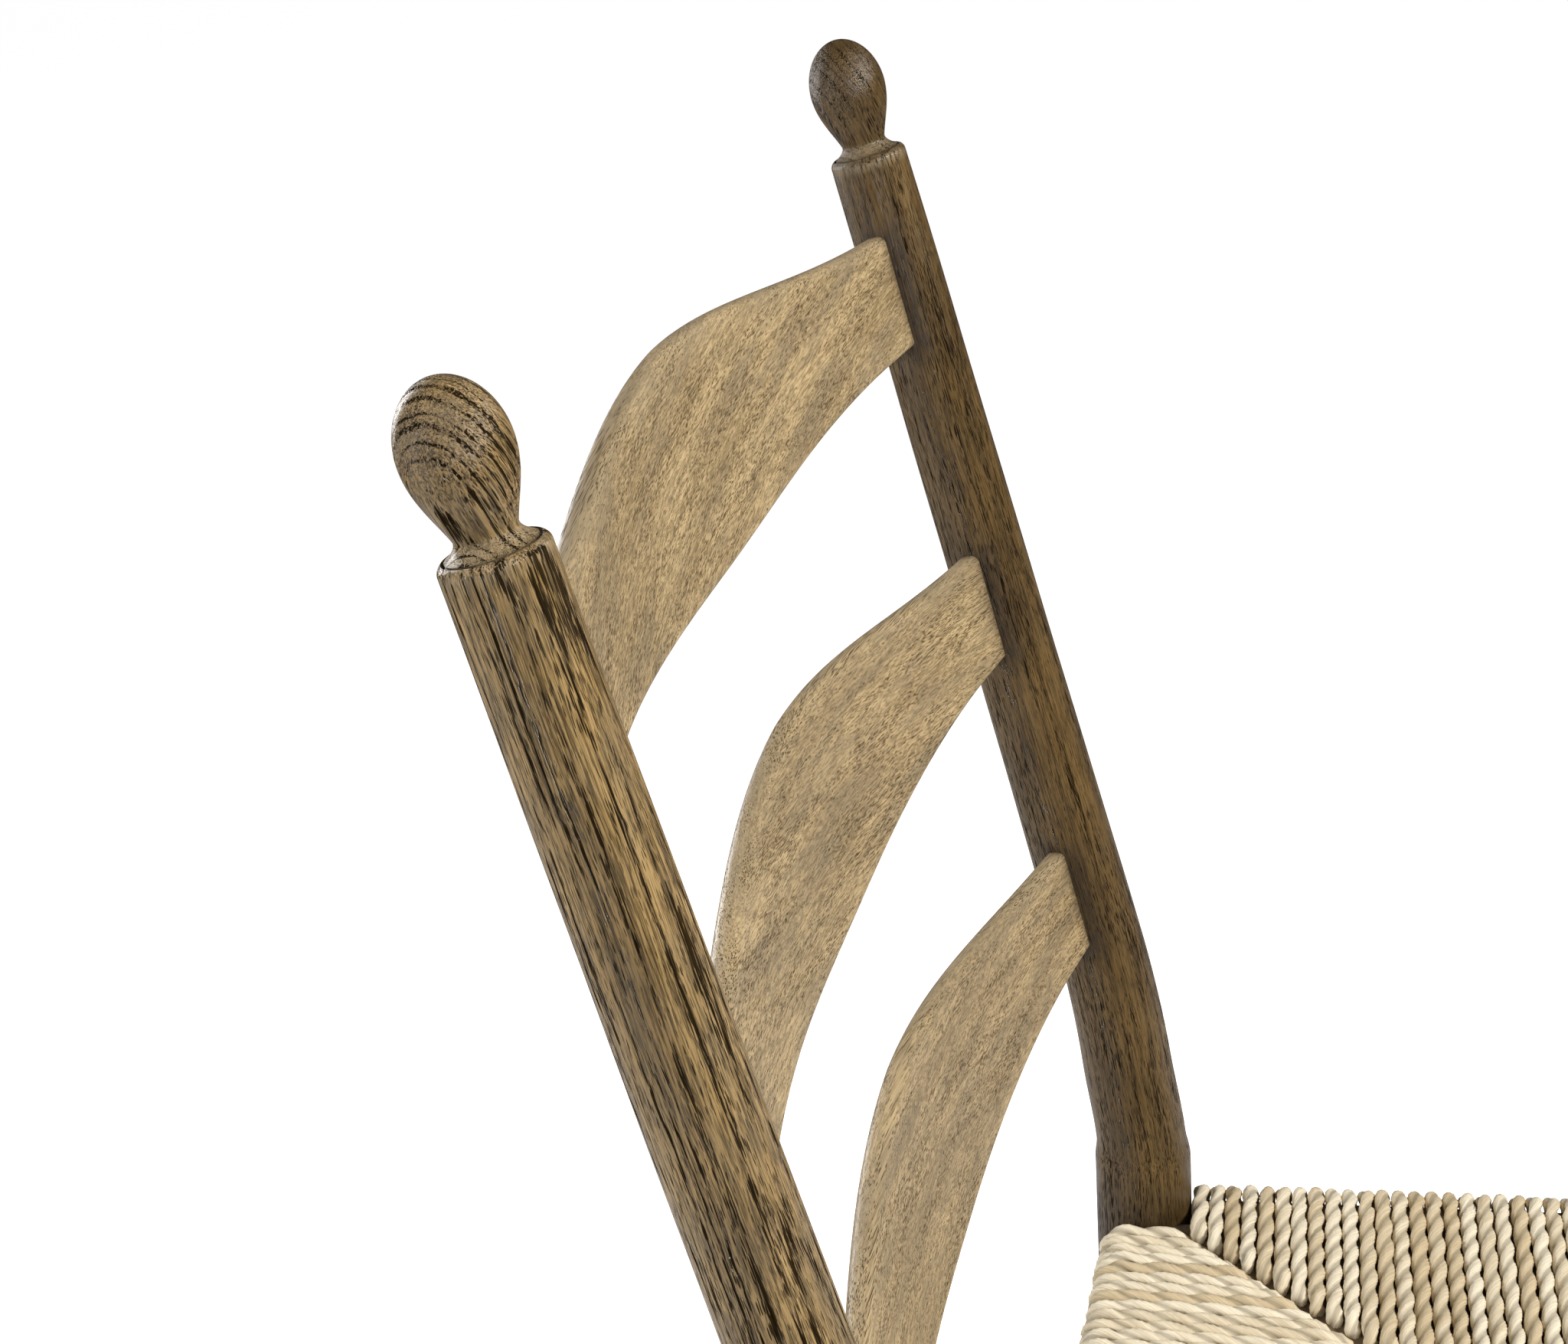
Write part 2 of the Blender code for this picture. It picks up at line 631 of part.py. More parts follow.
# ---- Stretchers ------------------------------------------------------------------------------
def make_stretchers(legs):
    rear_left, rear_right = seat_corner(1, False), seat_corner(-1, False)
    front_left, front_right = seat_corner(1, True), seat_corner(-1, True)
    runs = [("rear_stretcher", rear_right, rear_left, REAR_STRETCHER_HEIGHT)]
    for level, height in zip(("lower", "upper"), FRONT_STRETCHER_HEIGHTS):
        runs.append((f"front_stretcher_{level}", front_right, front_left, height))
    for level, height in zip(("lower", "upper"), SIDE_STRETCHER_HEIGHTS):
        runs.append((f"left_stretcher_{level}", rear_left, front_left, height))
        runs.append((f"right_stretcher_{level}", rear_right, front_right, height))
    for name, start, end, height in runs:
        lift = Vector((0, 0, height))
        joined = [leg for leg, foot in legs if foot in (start, end)]
        make_stretcher(name, start + lift, end + lift, joined)


# ---- Glides ----------------------------------------------------------------------------------
def make_glide(name, leg, foot):
    """A nail-on glide: a round cushion with its nail, driven into the foot of the leg."""
    nail_top = LEG_BOTTOM + GLIDE_NAIL_LENGTH
    profile = [
        (0, nail_top),
        (GLIDE_NAIL_RADIUS, nail_top - 2 * GLIDE_NAIL_RADIUS),
        (GLIDE_NAIL_RADIUS, GLIDE_HEIGHT),
        (GLIDE_RADIUS - GLIDE_CHAMFER, GLIDE_HEIGHT),
        (GLIDE_RADIUS, GLIDE_HEIGHT - GLIDE_CHAMFER),
        (GLIDE_RADIUS, GLIDE_CHAMFER),
        (GLIDE_RADIUS - GLIDE_CHAMFER, 0),
        (0, 0),
    ]
    mesh = turned_mesh(name, profile, GLIDE_SIDES)
    mesh.transform(Matrix.Translation(foot))
    add_part(name, mesh, nylon)
    top = foot + Vector((0, 0, nail_top + CLEARANCE))
    hole = rod_mesh(name + "_hole", foot, top, GLIDE_NAIL_RADIUS + CLEARANCE, GLIDE_SIDES)
    cut(leg, add_cutter(name + "_hole", hole))


# ---- Putting the origin under the middle of the bounding box ------------------------------------
def centre_on_origin():
    bpy.context.view_layer.update()
    graph = bpy.context.evaluated_depsgraph_get()
    low, high = 1e9, -1e9
    for obj in chair.objects:
        if obj.type != "MESH":
            continue
        evaluated = obj.evaluated_get(graph)
        ys = [(evaluated.matrix_world @ v.co).y for v in evaluated.to_mesh().vertices]
        evaluated.to_mesh_clear()
        low, high = min(ys + [low]), max(ys + [high])
    origin.location.y = -(low + high) / 2
    bpy.context.view_layer.update()


# ---- Build -----------------------------------------------------------------------------------
clear_scene()
chair = new_collection("ladder_back_chair")
cutters = new_collection("cutters")
origin = bpy.data.objects.new("chair_origin", None)
chair.objects.link(origin)

oak = make_material("oak", (0.26, 0.17, 0.09), 0.5)
oak_pale = make_material("oak_pale", (0.36, 0.26, 0.15), 0.55)
oak_raw = make_material("oak_raw", (0.45, 0.33, 0.2), 0.7)
rush = make_material("rush", (0.66, 0.54, 0.36), 0.75)
stuffing = make_material("stuffing", (0.4, 0.3, 0.18), 0.9)
nylon = make_material("nylon", (0.06, 0.05, 0.045), 0.5)

legs = [
    (make_back_post("back_post_left", 1), seat_corner(1, False)),
    (make_back_post("back_post_right", -1), seat_corner(-1, False)),
    (make_front_leg("front_leg_left", 1), seat_corner(1, True)),
    (make_front_leg("front_leg_right", -1), seat_corner(-1, True)),
]
make_slats([legs[0][0], legs[1][0]])
make_seat(legs)
make_stretchers(legs)
for leg, foot in legs:
    make_glide(leg.name.replace("back_post", "rear").replace("front_leg", "front") + "_glide", leg, foot)
centre_on_origin()
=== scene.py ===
# %% [markdown]
# # A ladder-back chair with a rush seat
# The chair's solid parts come from its CAD model, which is loaded first and stays fixed. This
# lesson builds what the eye sees around it: turned and bent oak posts, bowed oak slats, a seat
# wound from twisted rush cord, and the finishes of all of them. Every size is in metres. The
# sitter faces -Y, +Z is up, and +X is the sitter's left.

import math
import random

import bmesh
import bpy
import numpy as np
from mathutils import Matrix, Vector, noise


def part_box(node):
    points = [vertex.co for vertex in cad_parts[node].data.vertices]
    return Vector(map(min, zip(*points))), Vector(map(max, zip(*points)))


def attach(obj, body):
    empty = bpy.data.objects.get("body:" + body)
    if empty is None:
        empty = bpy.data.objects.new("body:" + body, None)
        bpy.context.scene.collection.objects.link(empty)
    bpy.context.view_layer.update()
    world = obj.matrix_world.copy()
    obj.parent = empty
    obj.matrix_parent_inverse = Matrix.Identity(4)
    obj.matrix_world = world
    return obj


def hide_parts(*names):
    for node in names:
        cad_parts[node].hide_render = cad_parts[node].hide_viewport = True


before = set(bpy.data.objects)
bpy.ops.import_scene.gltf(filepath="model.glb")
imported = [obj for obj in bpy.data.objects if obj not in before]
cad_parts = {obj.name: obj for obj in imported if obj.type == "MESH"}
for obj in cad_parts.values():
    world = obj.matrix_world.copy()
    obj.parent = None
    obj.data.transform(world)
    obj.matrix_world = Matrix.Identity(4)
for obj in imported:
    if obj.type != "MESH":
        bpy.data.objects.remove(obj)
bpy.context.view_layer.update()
MM = 0.001

# %% [markdown]
# ## Camera
# The chair is seen close up, from the sitter's right and a little above the top of the back, with
# a slightly tilted camera. A 61 mm lens on a 36 mm sensor keeps the near post large without
# stretching it. The other way is a longer lens from further off, but then the far post would be
# nearly as big as the near one.

# %% Place the camera
camera_data = bpy.data.cameras.new("camera")
camera_data.lens = 61.2216
camera_data.sensor_width = 36
camera_data.clip_start = 0.02
camera = bpy.data.objects.new("camera", camera_data)
camera.location = (-0.87514, -0.00347, 1.20519)
camera.rotation_euler = [math.radians(a) for a in (67.3244, 4.3696, -76.4182)]
bpy.context.scene.collection.objects.link(camera)
bpy.context.scene.camera = camera
print("camera at", tuple(camera.location))

# %% [markdown]
# ## Floor and world
# A plain pale floor and a pale world make a white studio. Making both of them bright enough to
# look white would be the simple way, but then their light would reach every side of the wood and
# flatten it. Here they are white only to the camera, and give the chair little light.

# %% Floor and world
FLOOR_SIZE = 80
FLOOR_GLOW = 0.90
WORLD_LIGHT, WORLD_SEEN = 0.11, 1.0


def plain_material(name, colour, roughness):
    material = bpy.data.materials.new(name)
    material.use_nodes = True
    shader = material.node_tree.nodes["Principled BSDF"]
    shader.inputs["Base Color"].default_value = (*colour, 1)
    shader.inputs["Roughness"].default_value = roughness
    return material


def seen_by_camera(tree):
    return tree.nodes.new("ShaderNodeLightPath").outputs["Is Camera Ray"]


floor_bm = bmesh.new()
bmesh.ops.create_grid(floor_bm, x_segments=1, y_segments=1, size=FLOOR_SIZE / 2)
floor_mesh = bpy.data.meshes.new("floor")
floor_bm.to_mesh(floor_mesh)
floor_bm.free()
floor = bpy.data.objects.new("floor", floor_mesh)
floor_white = plain_material("floor", (0.80, 0.80, 0.80), 0.9)
floor_tree = floor_white.node_tree
floor_shader = floor_tree.nodes["Principled BSDF"]
glow = floor_tree.nodes.new("ShaderNodeMath")
glow.operation = "MULTIPLY"
glow.inputs[1].default_value = FLOOR_GLOW
floor_tree.links.new(seen_by_camera(floor_tree), glow.inputs[0])
floor_shader.inputs["Emission Color"].default_value = (1, 1, 1, 1)
floor_tree.links.new(glow.outputs[0], floor_shader.inputs["Emission Strength"])
floor_mesh.materials.append(floor_white)
bpy.context.scene.collection.objects.link(floor)

world = bpy.data.worlds.new("studio")
world.use_nodes = True
world_tree = world.node_tree
background = world_tree.nodes["Background"]
background.inputs["Color"].default_value = (1, 1, 1, 1)
sky = world_tree.nodes.new("ShaderNodeMapRange")
world_tree.links.new(seen_by_camera(world_tree), sky.inputs["Value"])
sky.inputs["To Min"].default_value = WORLD_LIGHT
sky.inputs["To Max"].default_value = WORLD_SEEN
world_tree.links.new(sky.outputs[0], background.inputs["Strength"])
bpy.context.scene.world = world
print("floor", FLOOR_SIZE, "m wide, world light", WORLD_LIGHT)

# %% [markdown]
# ## Lights
# Four soft lights shape the wood. A weak strip and a stronger one stand behind the chair's back
# and edge the posts. A key light in front and above draws the glints on the finials, and a wide
# weak fill stands on the camera's side. One big light overhead would be simpler, but it would
# leave the round posts looking flat.

# %% Place the lights
BACK_TOP = (-0.2, 0.25, 0.9)


def soft_light(name, place, target, size, power):
    light = bpy.data.lights.new(name, "AREA")
    light.shape = "RECTANGLE"
    light.size, light.size_y = size
    light.energy = power
    lamp = bpy.data.objects.new(name, light)
    lamp.location = place
    lamp.rotation_euler = (Vector(target) - Vector(place)).to_track_quat("-Z", "Y").to_euler()
    bpy.context.scene.collection.objects.link(lamp)


soft_light("rim_strip", place=(0.95, 1.35, 1.05), target=BACK_TOP, size=(0.22, 0.7), power=7)
soft_light("back_strip", place=(-0.75, 1.70, 1.30), target=BACK_TOP, size=(0.30, 0.9), power=22)
soft_light("front_key", place=(-0.15, -1.45, 2.0), target=(-0.1, 0.2, 0.85), size=(0.36, 0.36), power=54)
soft_light("side_fill", place=(-1.55, -0.45, 1.55), target=(-0.1, 0.15, 0.8), size=(0.9, 0.9), power=4)
bpy.context.scene.view_settings.view_transform = "Standard"

# %% [markdown]
# ## Small helpers for shader graphs
# A shader graph is boxes joined by wires. These helpers add a box and join its inputs in one
# line, so that each effect below reads like a recipe. An input is either a number or the output
# of another box.

# %% Boxes, wires and sums


def box(tree, kind, **settings):
    made = tree.nodes.new("ShaderNode" + kind)
    for key, value in settings.items():
        setattr(made, key, value)
    return made


def feed(tree, socket, value):
    if isinstance(value, bpy.types.NodeSocket):
        tree.links.new(value, socket)
    else:
        socket.default_value = value


def maths(tree, operation, *values):
    made = box(tree, "Math", operation=operation)
    for socket, value in zip(made.inputs, values):
        feed(tree, socket, value)
    return made.outputs[0]


def plus(tree, first, second):
    return maths(tree, "ADD", first, second)


def minus(tree, first, second):
    return maths(tree, "SUBTRACT", first, second)


def times(tree, first, second):
    return maths(tree, "MULTIPLY", first, second)


def ramp(tree, value, low, high, start=0.0, end=1.0):
    """A smooth step: start below low, end above high."""
    made = box(tree, "MapRange", interpolation_type="SMOOTHSTEP")
    for socket, number in zip(made.inputs, (value, low, high, start, end)):
        feed(tree, socket, number)
    return made.outputs[0]


print("helpers for numbers:", [f.__name__ for f in (maths, plus, minus, times, ramp)])

# %% Vectors and patterns


def vector_maths(tree, operation, first, second):
    made = box(tree, "VectorMath", operation=operation)
    feed(tree, made.inputs[0], first)
    feed(tree, made.inputs[1], second)
    return made.outputs[0]


def stretched(tree, vector, scale):
    return vector_maths(tree, "MULTIPLY", vector, scale)


def scaled(tree, vector, amount):
    made = box(tree, "VectorMath", operation="SCALE")
    feed(tree, made.inputs[0], vector)
    feed(tree, made.inputs["Scale"], amount)
    return made.outputs[0]


def cloud(tree, vector, detail=2.0, rough=0.5, out="Fac"):
    made = box(tree, "TexNoise")
    feed(tree, made.inputs["Vector"], vector)
    made.inputs["Scale"].default_value = 1
    made.inputs["Detail"].default_value = detail
    made.inputs["Roughness"].default_value = rough
    return made.outputs[out]


def cells(tree, vector):
    """How far each place is from the nearest of many scattered points."""
    made = box(tree, "TexVoronoi")
    feed(tree, made.inputs["Vector"], vector)
    made.inputs["Scale"].default_value = 1
    return made.outputs["Distance"]


def attribute(tree, name, out="Vector"):
    return box(tree, "Attribute", attribute_name=name).outputs[out]


print("helpers for patterns:", [f.__name__ for f in (stretched, scaled, cloud, cells, attribute)])

# %% Colours and groups


def mixed(tree, share, first, second, blend="MIX"):
    made = box(tree, "Mix", data_type="RGBA", blend_type=blend)
    feed(tree, made.inputs[0], share)
    feed(tree, made.inputs[6], first)
    feed(tree, made.inputs[7], second)
    return made.outputs[2]


def shaded(tree, colour, share):
    """The colour times a share, which may pass 1."""
    grey = box(tree, "CombineColor")
    for socket in grey.inputs:
        feed(tree, socket, share)
    return mixed(tree, 1.0, colour, grey.outputs[0], "MULTIPLY")


def group(name, inputs, outputs):
    """An empty node group with named sockets, and its input and output boxes."""
    tree = bpy.data.node_groups.new(name, "ShaderNodeTree")
    for label, kind, value in inputs:
        socket = tree.interface.new_socket(label, in_out="INPUT", socket_type="NodeSocket" + kind)
        if value is not None:
            socket.default_value = value
    for label, kind in outputs:
        tree.interface.new_socket(label, in_out="OUTPUT", socket_type="NodeSocket" + kind)
    return tree, tree.nodes.new("NodeGroupInput").outputs, tree.nodes.new("NodeGroupOutput").inputs


def placed(tree, name, **values):
    """A node group placed in a material, with its inputs set. A blank in an input's name is _."""
    made = box(tree, "Group", node_tree=bpy.data.node_groups[name])
    for label, value in values.items():
        feed(tree, made.inputs[label.replace("_", " ")], value)
    return made.outputs


print("helpers for colours and groups:", [f.__name__ for f in (mixed, shaded, group, placed)])

# %% [markdown]
# ## Oak
# Oak is ring-porous: each year's growth starts with a band of pores wide enough to see. Where a
# piece's surface cuts the rings on edge, the bands show as long dark lines; where it lies along
# them, as arched patches. Painting those patterns on each face would be one way. Here every
# piece carries, in an attribute called grain, the place that each of its points had in the tree,
# in metres from the heart and along the trunk. The rings and pores are worked out in that solid
# tree, so they meet correctly at every edge, run round the finials as arches, and follow a bent
# post round its bend. In the group, lengths are in millimetres, and a pattern's three scales say
# how many of its marks there are in a millimetre: few along the trunk, and more across it.

# %% Rings, pores and fibres of oak
oak_tree, oak_in, oak_out = group(
    "Oak grain",
    [
        ("Grain", "Vector", None),
        ("Ring width", "Float", 4.6),
        ("Wander", "Float", 5.0),
        ("Pore size", "Float", 1.0),
        ("Checks", "Float", 1.0),
    ],
    [("Early", "Float"), ("Pores", "Float"), ("Fibre", "Float"), ("Patch", "Float"), ("Height", "Float")],
)


def shifted(tree, vector, scale, amount):
    """A cloudy shift of up to half the amount, either way, in each direction."""
    cloudy = cloud(tree, stretched(tree, vector, scale), 2, out="Color")
    return scaled(tree, vector_maths(tree, "SUBTRACT", cloudy, (0.5, 0.5, 0.5)), amount)


def dashes(tree, place, scale, size, crowd, edge, depth):
    """Slim hollows that lie along the grain. Crowd is how much of its cell each of them fills."""
    near = cells(tree, scaled(tree, stretched(tree, place, scale), size))
    return ramp(tree, minus(tree, near, crowd), *edge, depth, 0)


def ring_phase(tree, place, ring_width):
    """How far through its year's growth each place is, from 0 to 1. Good and bad years differ."""
    split = box(tree, "SeparateXYZ")
    feed(tree, split.inputs[0], place)
    x, y = split.outputs[0], split.outputs[1]
    radius = maths(tree, "SQRT", plus(tree, times(tree, x, x), times(tree, y, y)))
    years = box(tree, "CombineXYZ")
    feed(tree, years.inputs[0], times(tree, radius, 0.11))
    uneven = times(tree, minus(tree, cloud(tree, years.outputs[0], 1), 0.5), 9)
    return maths(tree, "FRACT", maths(tree, "DIVIDE", plus(tree, radius, uneven), ring_width))


def build_oak_grain(tree, given, made):
    in_mm = stretched(tree, given["Grain"], (1000, 1000, 1000))
    # the trunk wanders slowly, its fibres weave a little, and the finest of them are ragged
    wander = shifted(tree, in_mm, (0.025, 0.025, 0.006), given["Wander"])
    weave = shifted(tree, in_mm, (0.16, 0.16, 0.013), 2.0)
    ragged = shifted(tree, in_mm, (0.80, 0.80, 0.055), 0.55)
    moved = in_mm
    for shift in (wander, weave, ragged):
        moved = vector_maths(tree, "ADD", moved, shift)
    phase = ring_phase(tree, moved, given["Ring width"])
    early = times(tree, ramp(tree, phase, 0.08, 0.45, 1, 0), ramp(tree, phase, 0.0, 0.05))
    away = times(tree, maths(tree, "ABSOLUTE", minus(tree, phase, 0.2)), given["Ring width"])
    row = ramp(tree, away, 0.10, 1.05, 1, 0)
    # big pores crowd along the row where the early wood starts, and fine ones lie everywhere
    size = maths(tree, "DIVIDE", 1.0, given["Pore size"])
    spell = cloud(tree, stretched(tree, in_mm, (0.12, 0.12, 0.016)), 2)
    crowd = times(tree, times(tree, row, ramp(tree, spell, 0.32, 0.62, 0.22, 0.54)), given["Checks"])
    big = dashes(tree, moved, (1.45, 1.45, 0.060), size, crowd, (0.03, 0.10), 1)
    in_rows = times(tree, early, maths(tree, "MULTIPLY_ADD", given["Checks"], 0.14, 0.06))
    crowd = plus(tree, in_rows, ramp(tree, spell, 0.32, 0.66, 0.08, 0.28))
    fine = dashes(tree, moved, (2.0, 2.0, 0.13), size, crowd, (0.02, 0.12), 0.95)
    pores = maths(tree, "MAXIMUM", big, fine)
    long_fibre = cloud(tree, stretched(tree, moved, (2.0, 2.0, 0.040)), 4, 0.7)
    short_fibre = cloud(tree, stretched(tree, moved, (1.15, 1.15, 0.075)), 3, 0.6)
    height = plus(tree, times(tree, pores, -0.42), times(tree, early, -0.08))
    feed(tree, made["Early"], early)
    feed(tree, made["Pores"], pores)
    feed(tree, made["Fibre"], plus(tree, times(tree, long_fibre, 0.6), times(tree, short_fibre, 0.4)))
    feed(tree, made["Patch"], cloud(tree, stretched(tree, in_mm, (0.06, 0.06, 0.018)), 3, 0.55))
    feed(tree, made["Height"], plus(tree, height, times(tree, long_fibre, 0.36)))


build_oak_grain(oak_tree, oak_in, oak_out)
print("oak grain group:", len(oak_tree.nodes), "nodes")

# %% [markdown]
# ## Age and painted light
# The chair has a worn, waxed finish: grey where it has weathered, and paler where hands and cloth
# have rubbed. Each piece carries two attributes, which its own cell works out from its shape: one
# for rubbed wear and for a painted highlight, and one for dirt and for painted shade in the joints,
# the recesses and at the seat. A texture of the whole chair could hold them too, but then it would
# have to be painted again for every change of shape. This group turns them into colour, and every
# oak shares it.

# %% Wear, dirt, painted shade and painted highlight
WEATHERED = (0.190, 0.148, 0.092, 1)
# paler colour for rubbed wood, and for painted highlights
RUBBED = (0.46, 0.36, 0.22, 1)
# dark colour for dirt, and for painted shade in the joints and recesses
DIRTY = (0.022, 0.013, 0.006, 1)
age_tree, age_in, age_out = group(
    "Age",
    [
        ("Colour", "Color", None),
        ("Grain", "Vector", None),
        ("Wear", "Float", 0.0),
        ("Grime", "Float", 0.0),
        ("Grey", "Float", 0.4),
    ],
    [("Colour", "Color"), ("Gloss loss", "Float")],
)


def build_age(tree, given, made):
    blotch = cloud(tree, stretched(tree, given["Grain"], (100, 100, 35)), 4, 0.6)
    fine = cloud(tree, stretched(tree, given["Grain"], (700, 700, 160)), 3, 0.6)
    greyed = times(tree, ramp(tree, blotch, 0.38, 0.68), given["Grey"])
    colour = mixed(tree, greyed, given["Colour"], WEATHERED)
    # paler where rubbed, and painted highlights on the finials' bead rims and coves
    rubbed = times(tree, given["Wear"], ramp(tree, fine, 0.3, 0.6, 0.35, 1.0))
    colour = mixed(tree, times(tree, rubbed, 0.55), colour, RUBBED)
    # darker with dirt, and with painted shade at the joints, in the quirks and at the seat
    dirt = times(tree, given["Grime"], ramp(tree, fine, 0.25, 0.7, 1.0, 0.6))
    feed(tree, made["Colour"], mixed(tree, times(tree, dirt, 0.85), colour, DIRTY))
    feed(tree, made["Gloss loss"], times(tree, plus(tree, dirt, greyed), 0.16))


build_age(age_tree, age_in, age_out)
print("age group:", len(age_tree.nodes), "nodes")

# %% [markdown]
# ## The oak finishes
# The near post, the legs and the stretchers are a waxed grey-brown; the far post has the same
# oak made darker, a painted shade for a post in shadow; the slats are a paler tan, and the rails
# inside the seat are bare sawn oak. They are four materials on the same two groups, because only
# their colours, ring widths and pore sizes differ. Late is the colour of the dense late wood, early
# that of the open early wood, and relief is how deep the pores look. A piece without a grain
# attribute uses its plain Object coordinates instead.

# %% Build the oak materials


def oak_material(name, late, early, pore, grey, roughness, contrast, relief, sawn=False, **figure):
    material = bpy.data.materials.new(name)
    material.use_nodes = True
    tree = material.node_tree
    shader = tree.nodes["Principled BSDF"]
    grain = box(tree, "TexCoord").outputs["Object"] if sawn else attribute(tree, "grain")
    oak = placed(tree, "Oak grain", Grain=grain, **figure)
    # patches of paler wood, darker early wood, then fibres that are dark or rise as pale ridges, whose
    # greyish paleness is partly a painted highlight
    pale = tuple(c * 1.28 + 0.12 * late[0] * wash for c, wash in zip(late, (1, 0.85, 0.55)))
    colour = mixed(tree, ramp(tree, oak["Patch"], 0.36, 0.64), (*late, 1), (*pale, 1))
    colour = mixed(tree, times(tree, oak["Early"], 0.5), colour, (*early, 1))
    streak = ramp(tree, oak["Fibre"], 0.42, 0.58, 1 - contrast, 1 + 0.55 * contrast)
    colour = shaded(tree, colour, streak)
    # a greyish pale colour on the fibres' ridges: pale fibre, and partly a painted highlight
    ridge = tuple(c * share + 0.02 for c, share in zip(late, (1.35, 1.5, 2.1)))
    colour = mixed(tree, ramp(tree, oak["Fibre"], 0.50, 0.62, 0, 0.55 * contrast), colour, (*ridge, 1))
    # each piece's rubbed wear with painted highlights, and its dirt with painted shade
    wear, grime = attribute(tree, "wear", "Fac"), attribute(tree, "grime", "Fac")
    aged = placed(tree, "Age", Colour=colour, Grain=grain, Wear=wear, Grime=grime, Grey=grey)
    colour = mixed(tree, times(tree, oak["Pores"], 0.93), aged["Colour"], (*pore, 1))
    feed(tree, shader.inputs["Base Color"], colour)
    rough = plus(tree, times(tree, oak["Pores"], 0.4), aged["Gloss loss"])
    rough = plus(tree, rough, times(tree, oak["Fibre"], 0.12))
    feed(tree, shader.inputs["Roughness"], plus(tree, rough, roughness))
    bump = box(tree, "Bump")
    bump.inputs["Strength"].default_value = 1.0
    bump.inputs["Distance"].default_value = relief
    feed(tree, bump.inputs["Height"], oak["Height"])
    feed(tree, shader.inputs["Normal"], bump.outputs[0])
    dull_pores = maths(tree, "MULTIPLY_ADD", oak["Pores"], -0.5, 0.5)
    feed(tree, shader.inputs["Specular IOR Level"], dull_pores)
    return material


BROWN_PORE = (0.008, 0.005, 0.002)
brown_oak = oak_material(
    "brown_oak",
    late=(0.278, 0.173, 0.060),
    early=(0.150, 0.086, 0.026),
    pore=BROWN_PORE,
    grey=0.36,
    roughness=0.12,
    contrast=0.68,
    relief=1.0 * MM,
    Ring_width=3.9,
)
# the far post: the brown oak made darker, a painted shade for a post that stands in shadow
dark_oak = oak_material(
    "dark_oak",
    late=(0.104, 0.058, 0.014),
    early=(0.058, 0.031, 0.007),
    pore=BROWN_PORE,
    grey=0.05,
    roughness=0.22,
    contrast=0.5,
    relief=0.8 * MM,
    Ring_width=3.9,
    Checks=0.5,
)
tan_oak = oak_material(
    "tan_oak",
    late=(0.356, 0.250, 0.120),
    early=(0.306, 0.206, 0.094),
    pore=(0.085, 0.052, 0.022),
    grey=0.50,
    roughness=0.25,
    contrast=0.46,
    relief=0.35 * MM,
    Ring_width=3.2,
    Pore_size=0.85,
    Checks=0.0,
)
rail_oak = oak_material(
    "rail_oak",
    late=(0.46, 0.34, 0.20),
    early=(0.36, 0.25, 0.14),
    pore=(0.10, 0.065, 0.036),
    grey=0.1,
    roughness=0.55,
    contrast=0.3,
    relief=0.8 * MM,
    sawn=True,
    Checks=0.2,
)
print("oak materials:", [m.name for m in (brown_oak, dark_oak, tan_oak, rail_oak)])

# %% [markdown]
# ## Turned pieces
# A lathe turns a blank about its axis against a gouge, so a turned piece is one profile spun
# about a line. A profile is a few points, (radius, distance up the axis); spin sweeps it
# round. A subdivided cylinder would do too, but its rings would have to be moved one by one.
# The spun piece is made straight, which is also the place its wood had in the tree. Only then is
# it bent or moved.

# %% Spin a profile


def spun(profile, sides):
    made = bmesh.new()
    verts = [made.verts.new((radius, 0, height)) for radius, height in profile]
    edges = [made.edges.new(pair) for pair in zip(verts, verts[1:])]
    bmesh.ops.spin(
        made, geom=verts + edges, axis=(0, 0, 1), cent=(0, 0, 0), angle=math.tau, steps=sides, use_merge=True
    )
    bmesh.ops.remove_doubles(made, verts=made.verts, dist=0.01 * MM)
    bmesh.ops.recalc_face_normals(made, faces=made.faces)
    return made


def straight_points(made):
    made.verts.ensure_lookup_table()
    return np.array([v.co for v in made.verts], float)


def step(value, low, high):
    """A smooth step from 0 to 1, for numpy arrays."""
    t = np.clip((value - low) / (high - low), 0, 1)
    return t * t * (3 - 2 * t)


print("step at its middle:", step(0.5, 0, 1))

# %% [markdown]
# ## From a mesh to a piece
# Each piece ends as a mesh whose attributes drive its finish, on an object that rides the chair's
# one body; the CAD part it stands in for is hidden. The object stays at the origin, unturned, and
# its place is in its mesh. Moving the object would be shorter, but then a pattern that reads
# Object coordinates would slide.

# %% Give a mesh its attributes and make it a piece


def give_attributes(mesh, **values):
    """Store a number, or a vector, for every vertex under each name."""
    for label, numbers in values.items():
        is_vector = np.ndim(numbers) == 2
        layer = mesh.attributes.new(label, "FLOAT_VECTOR" if is_vector else "FLOAT", "POINT")
        flat = np.asarray(numbers, dtype=np.float32).ravel()
        layer.data.foreach_set("vector" if is_vector else "value", flat)


def as_piece(name, mesh, material, slot, *nodes):
    mesh.materials.clear()
    mesh.materials.append(material)
    piece = bpy.data.objects.new(name, mesh)
    bpy.context.scene.collection.objects.link(piece)
    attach(piece, "root")
    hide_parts(*nodes)
    print(name, len(mesh.polygons), "faces")


def finished(name, made, places, grain, wear, grime, material, slot, node):
    """Turn a bmesh into a named piece at its final places, with its wood attributes."""
    mesh = bpy.data.meshes.new(name)
    made.to_mesh(mesh)
    made.free()
    mesh.vertices.foreach_set("co", places.astype(np.float32).ravel())
    give_attributes(mesh, grain=grain, wear=wear, grime=grime)
    mesh.shade_smooth()
    mesh.set_sharp_from_angle(angle=math.radians(50))
    as_piece(name, mesh, material, slot, node)
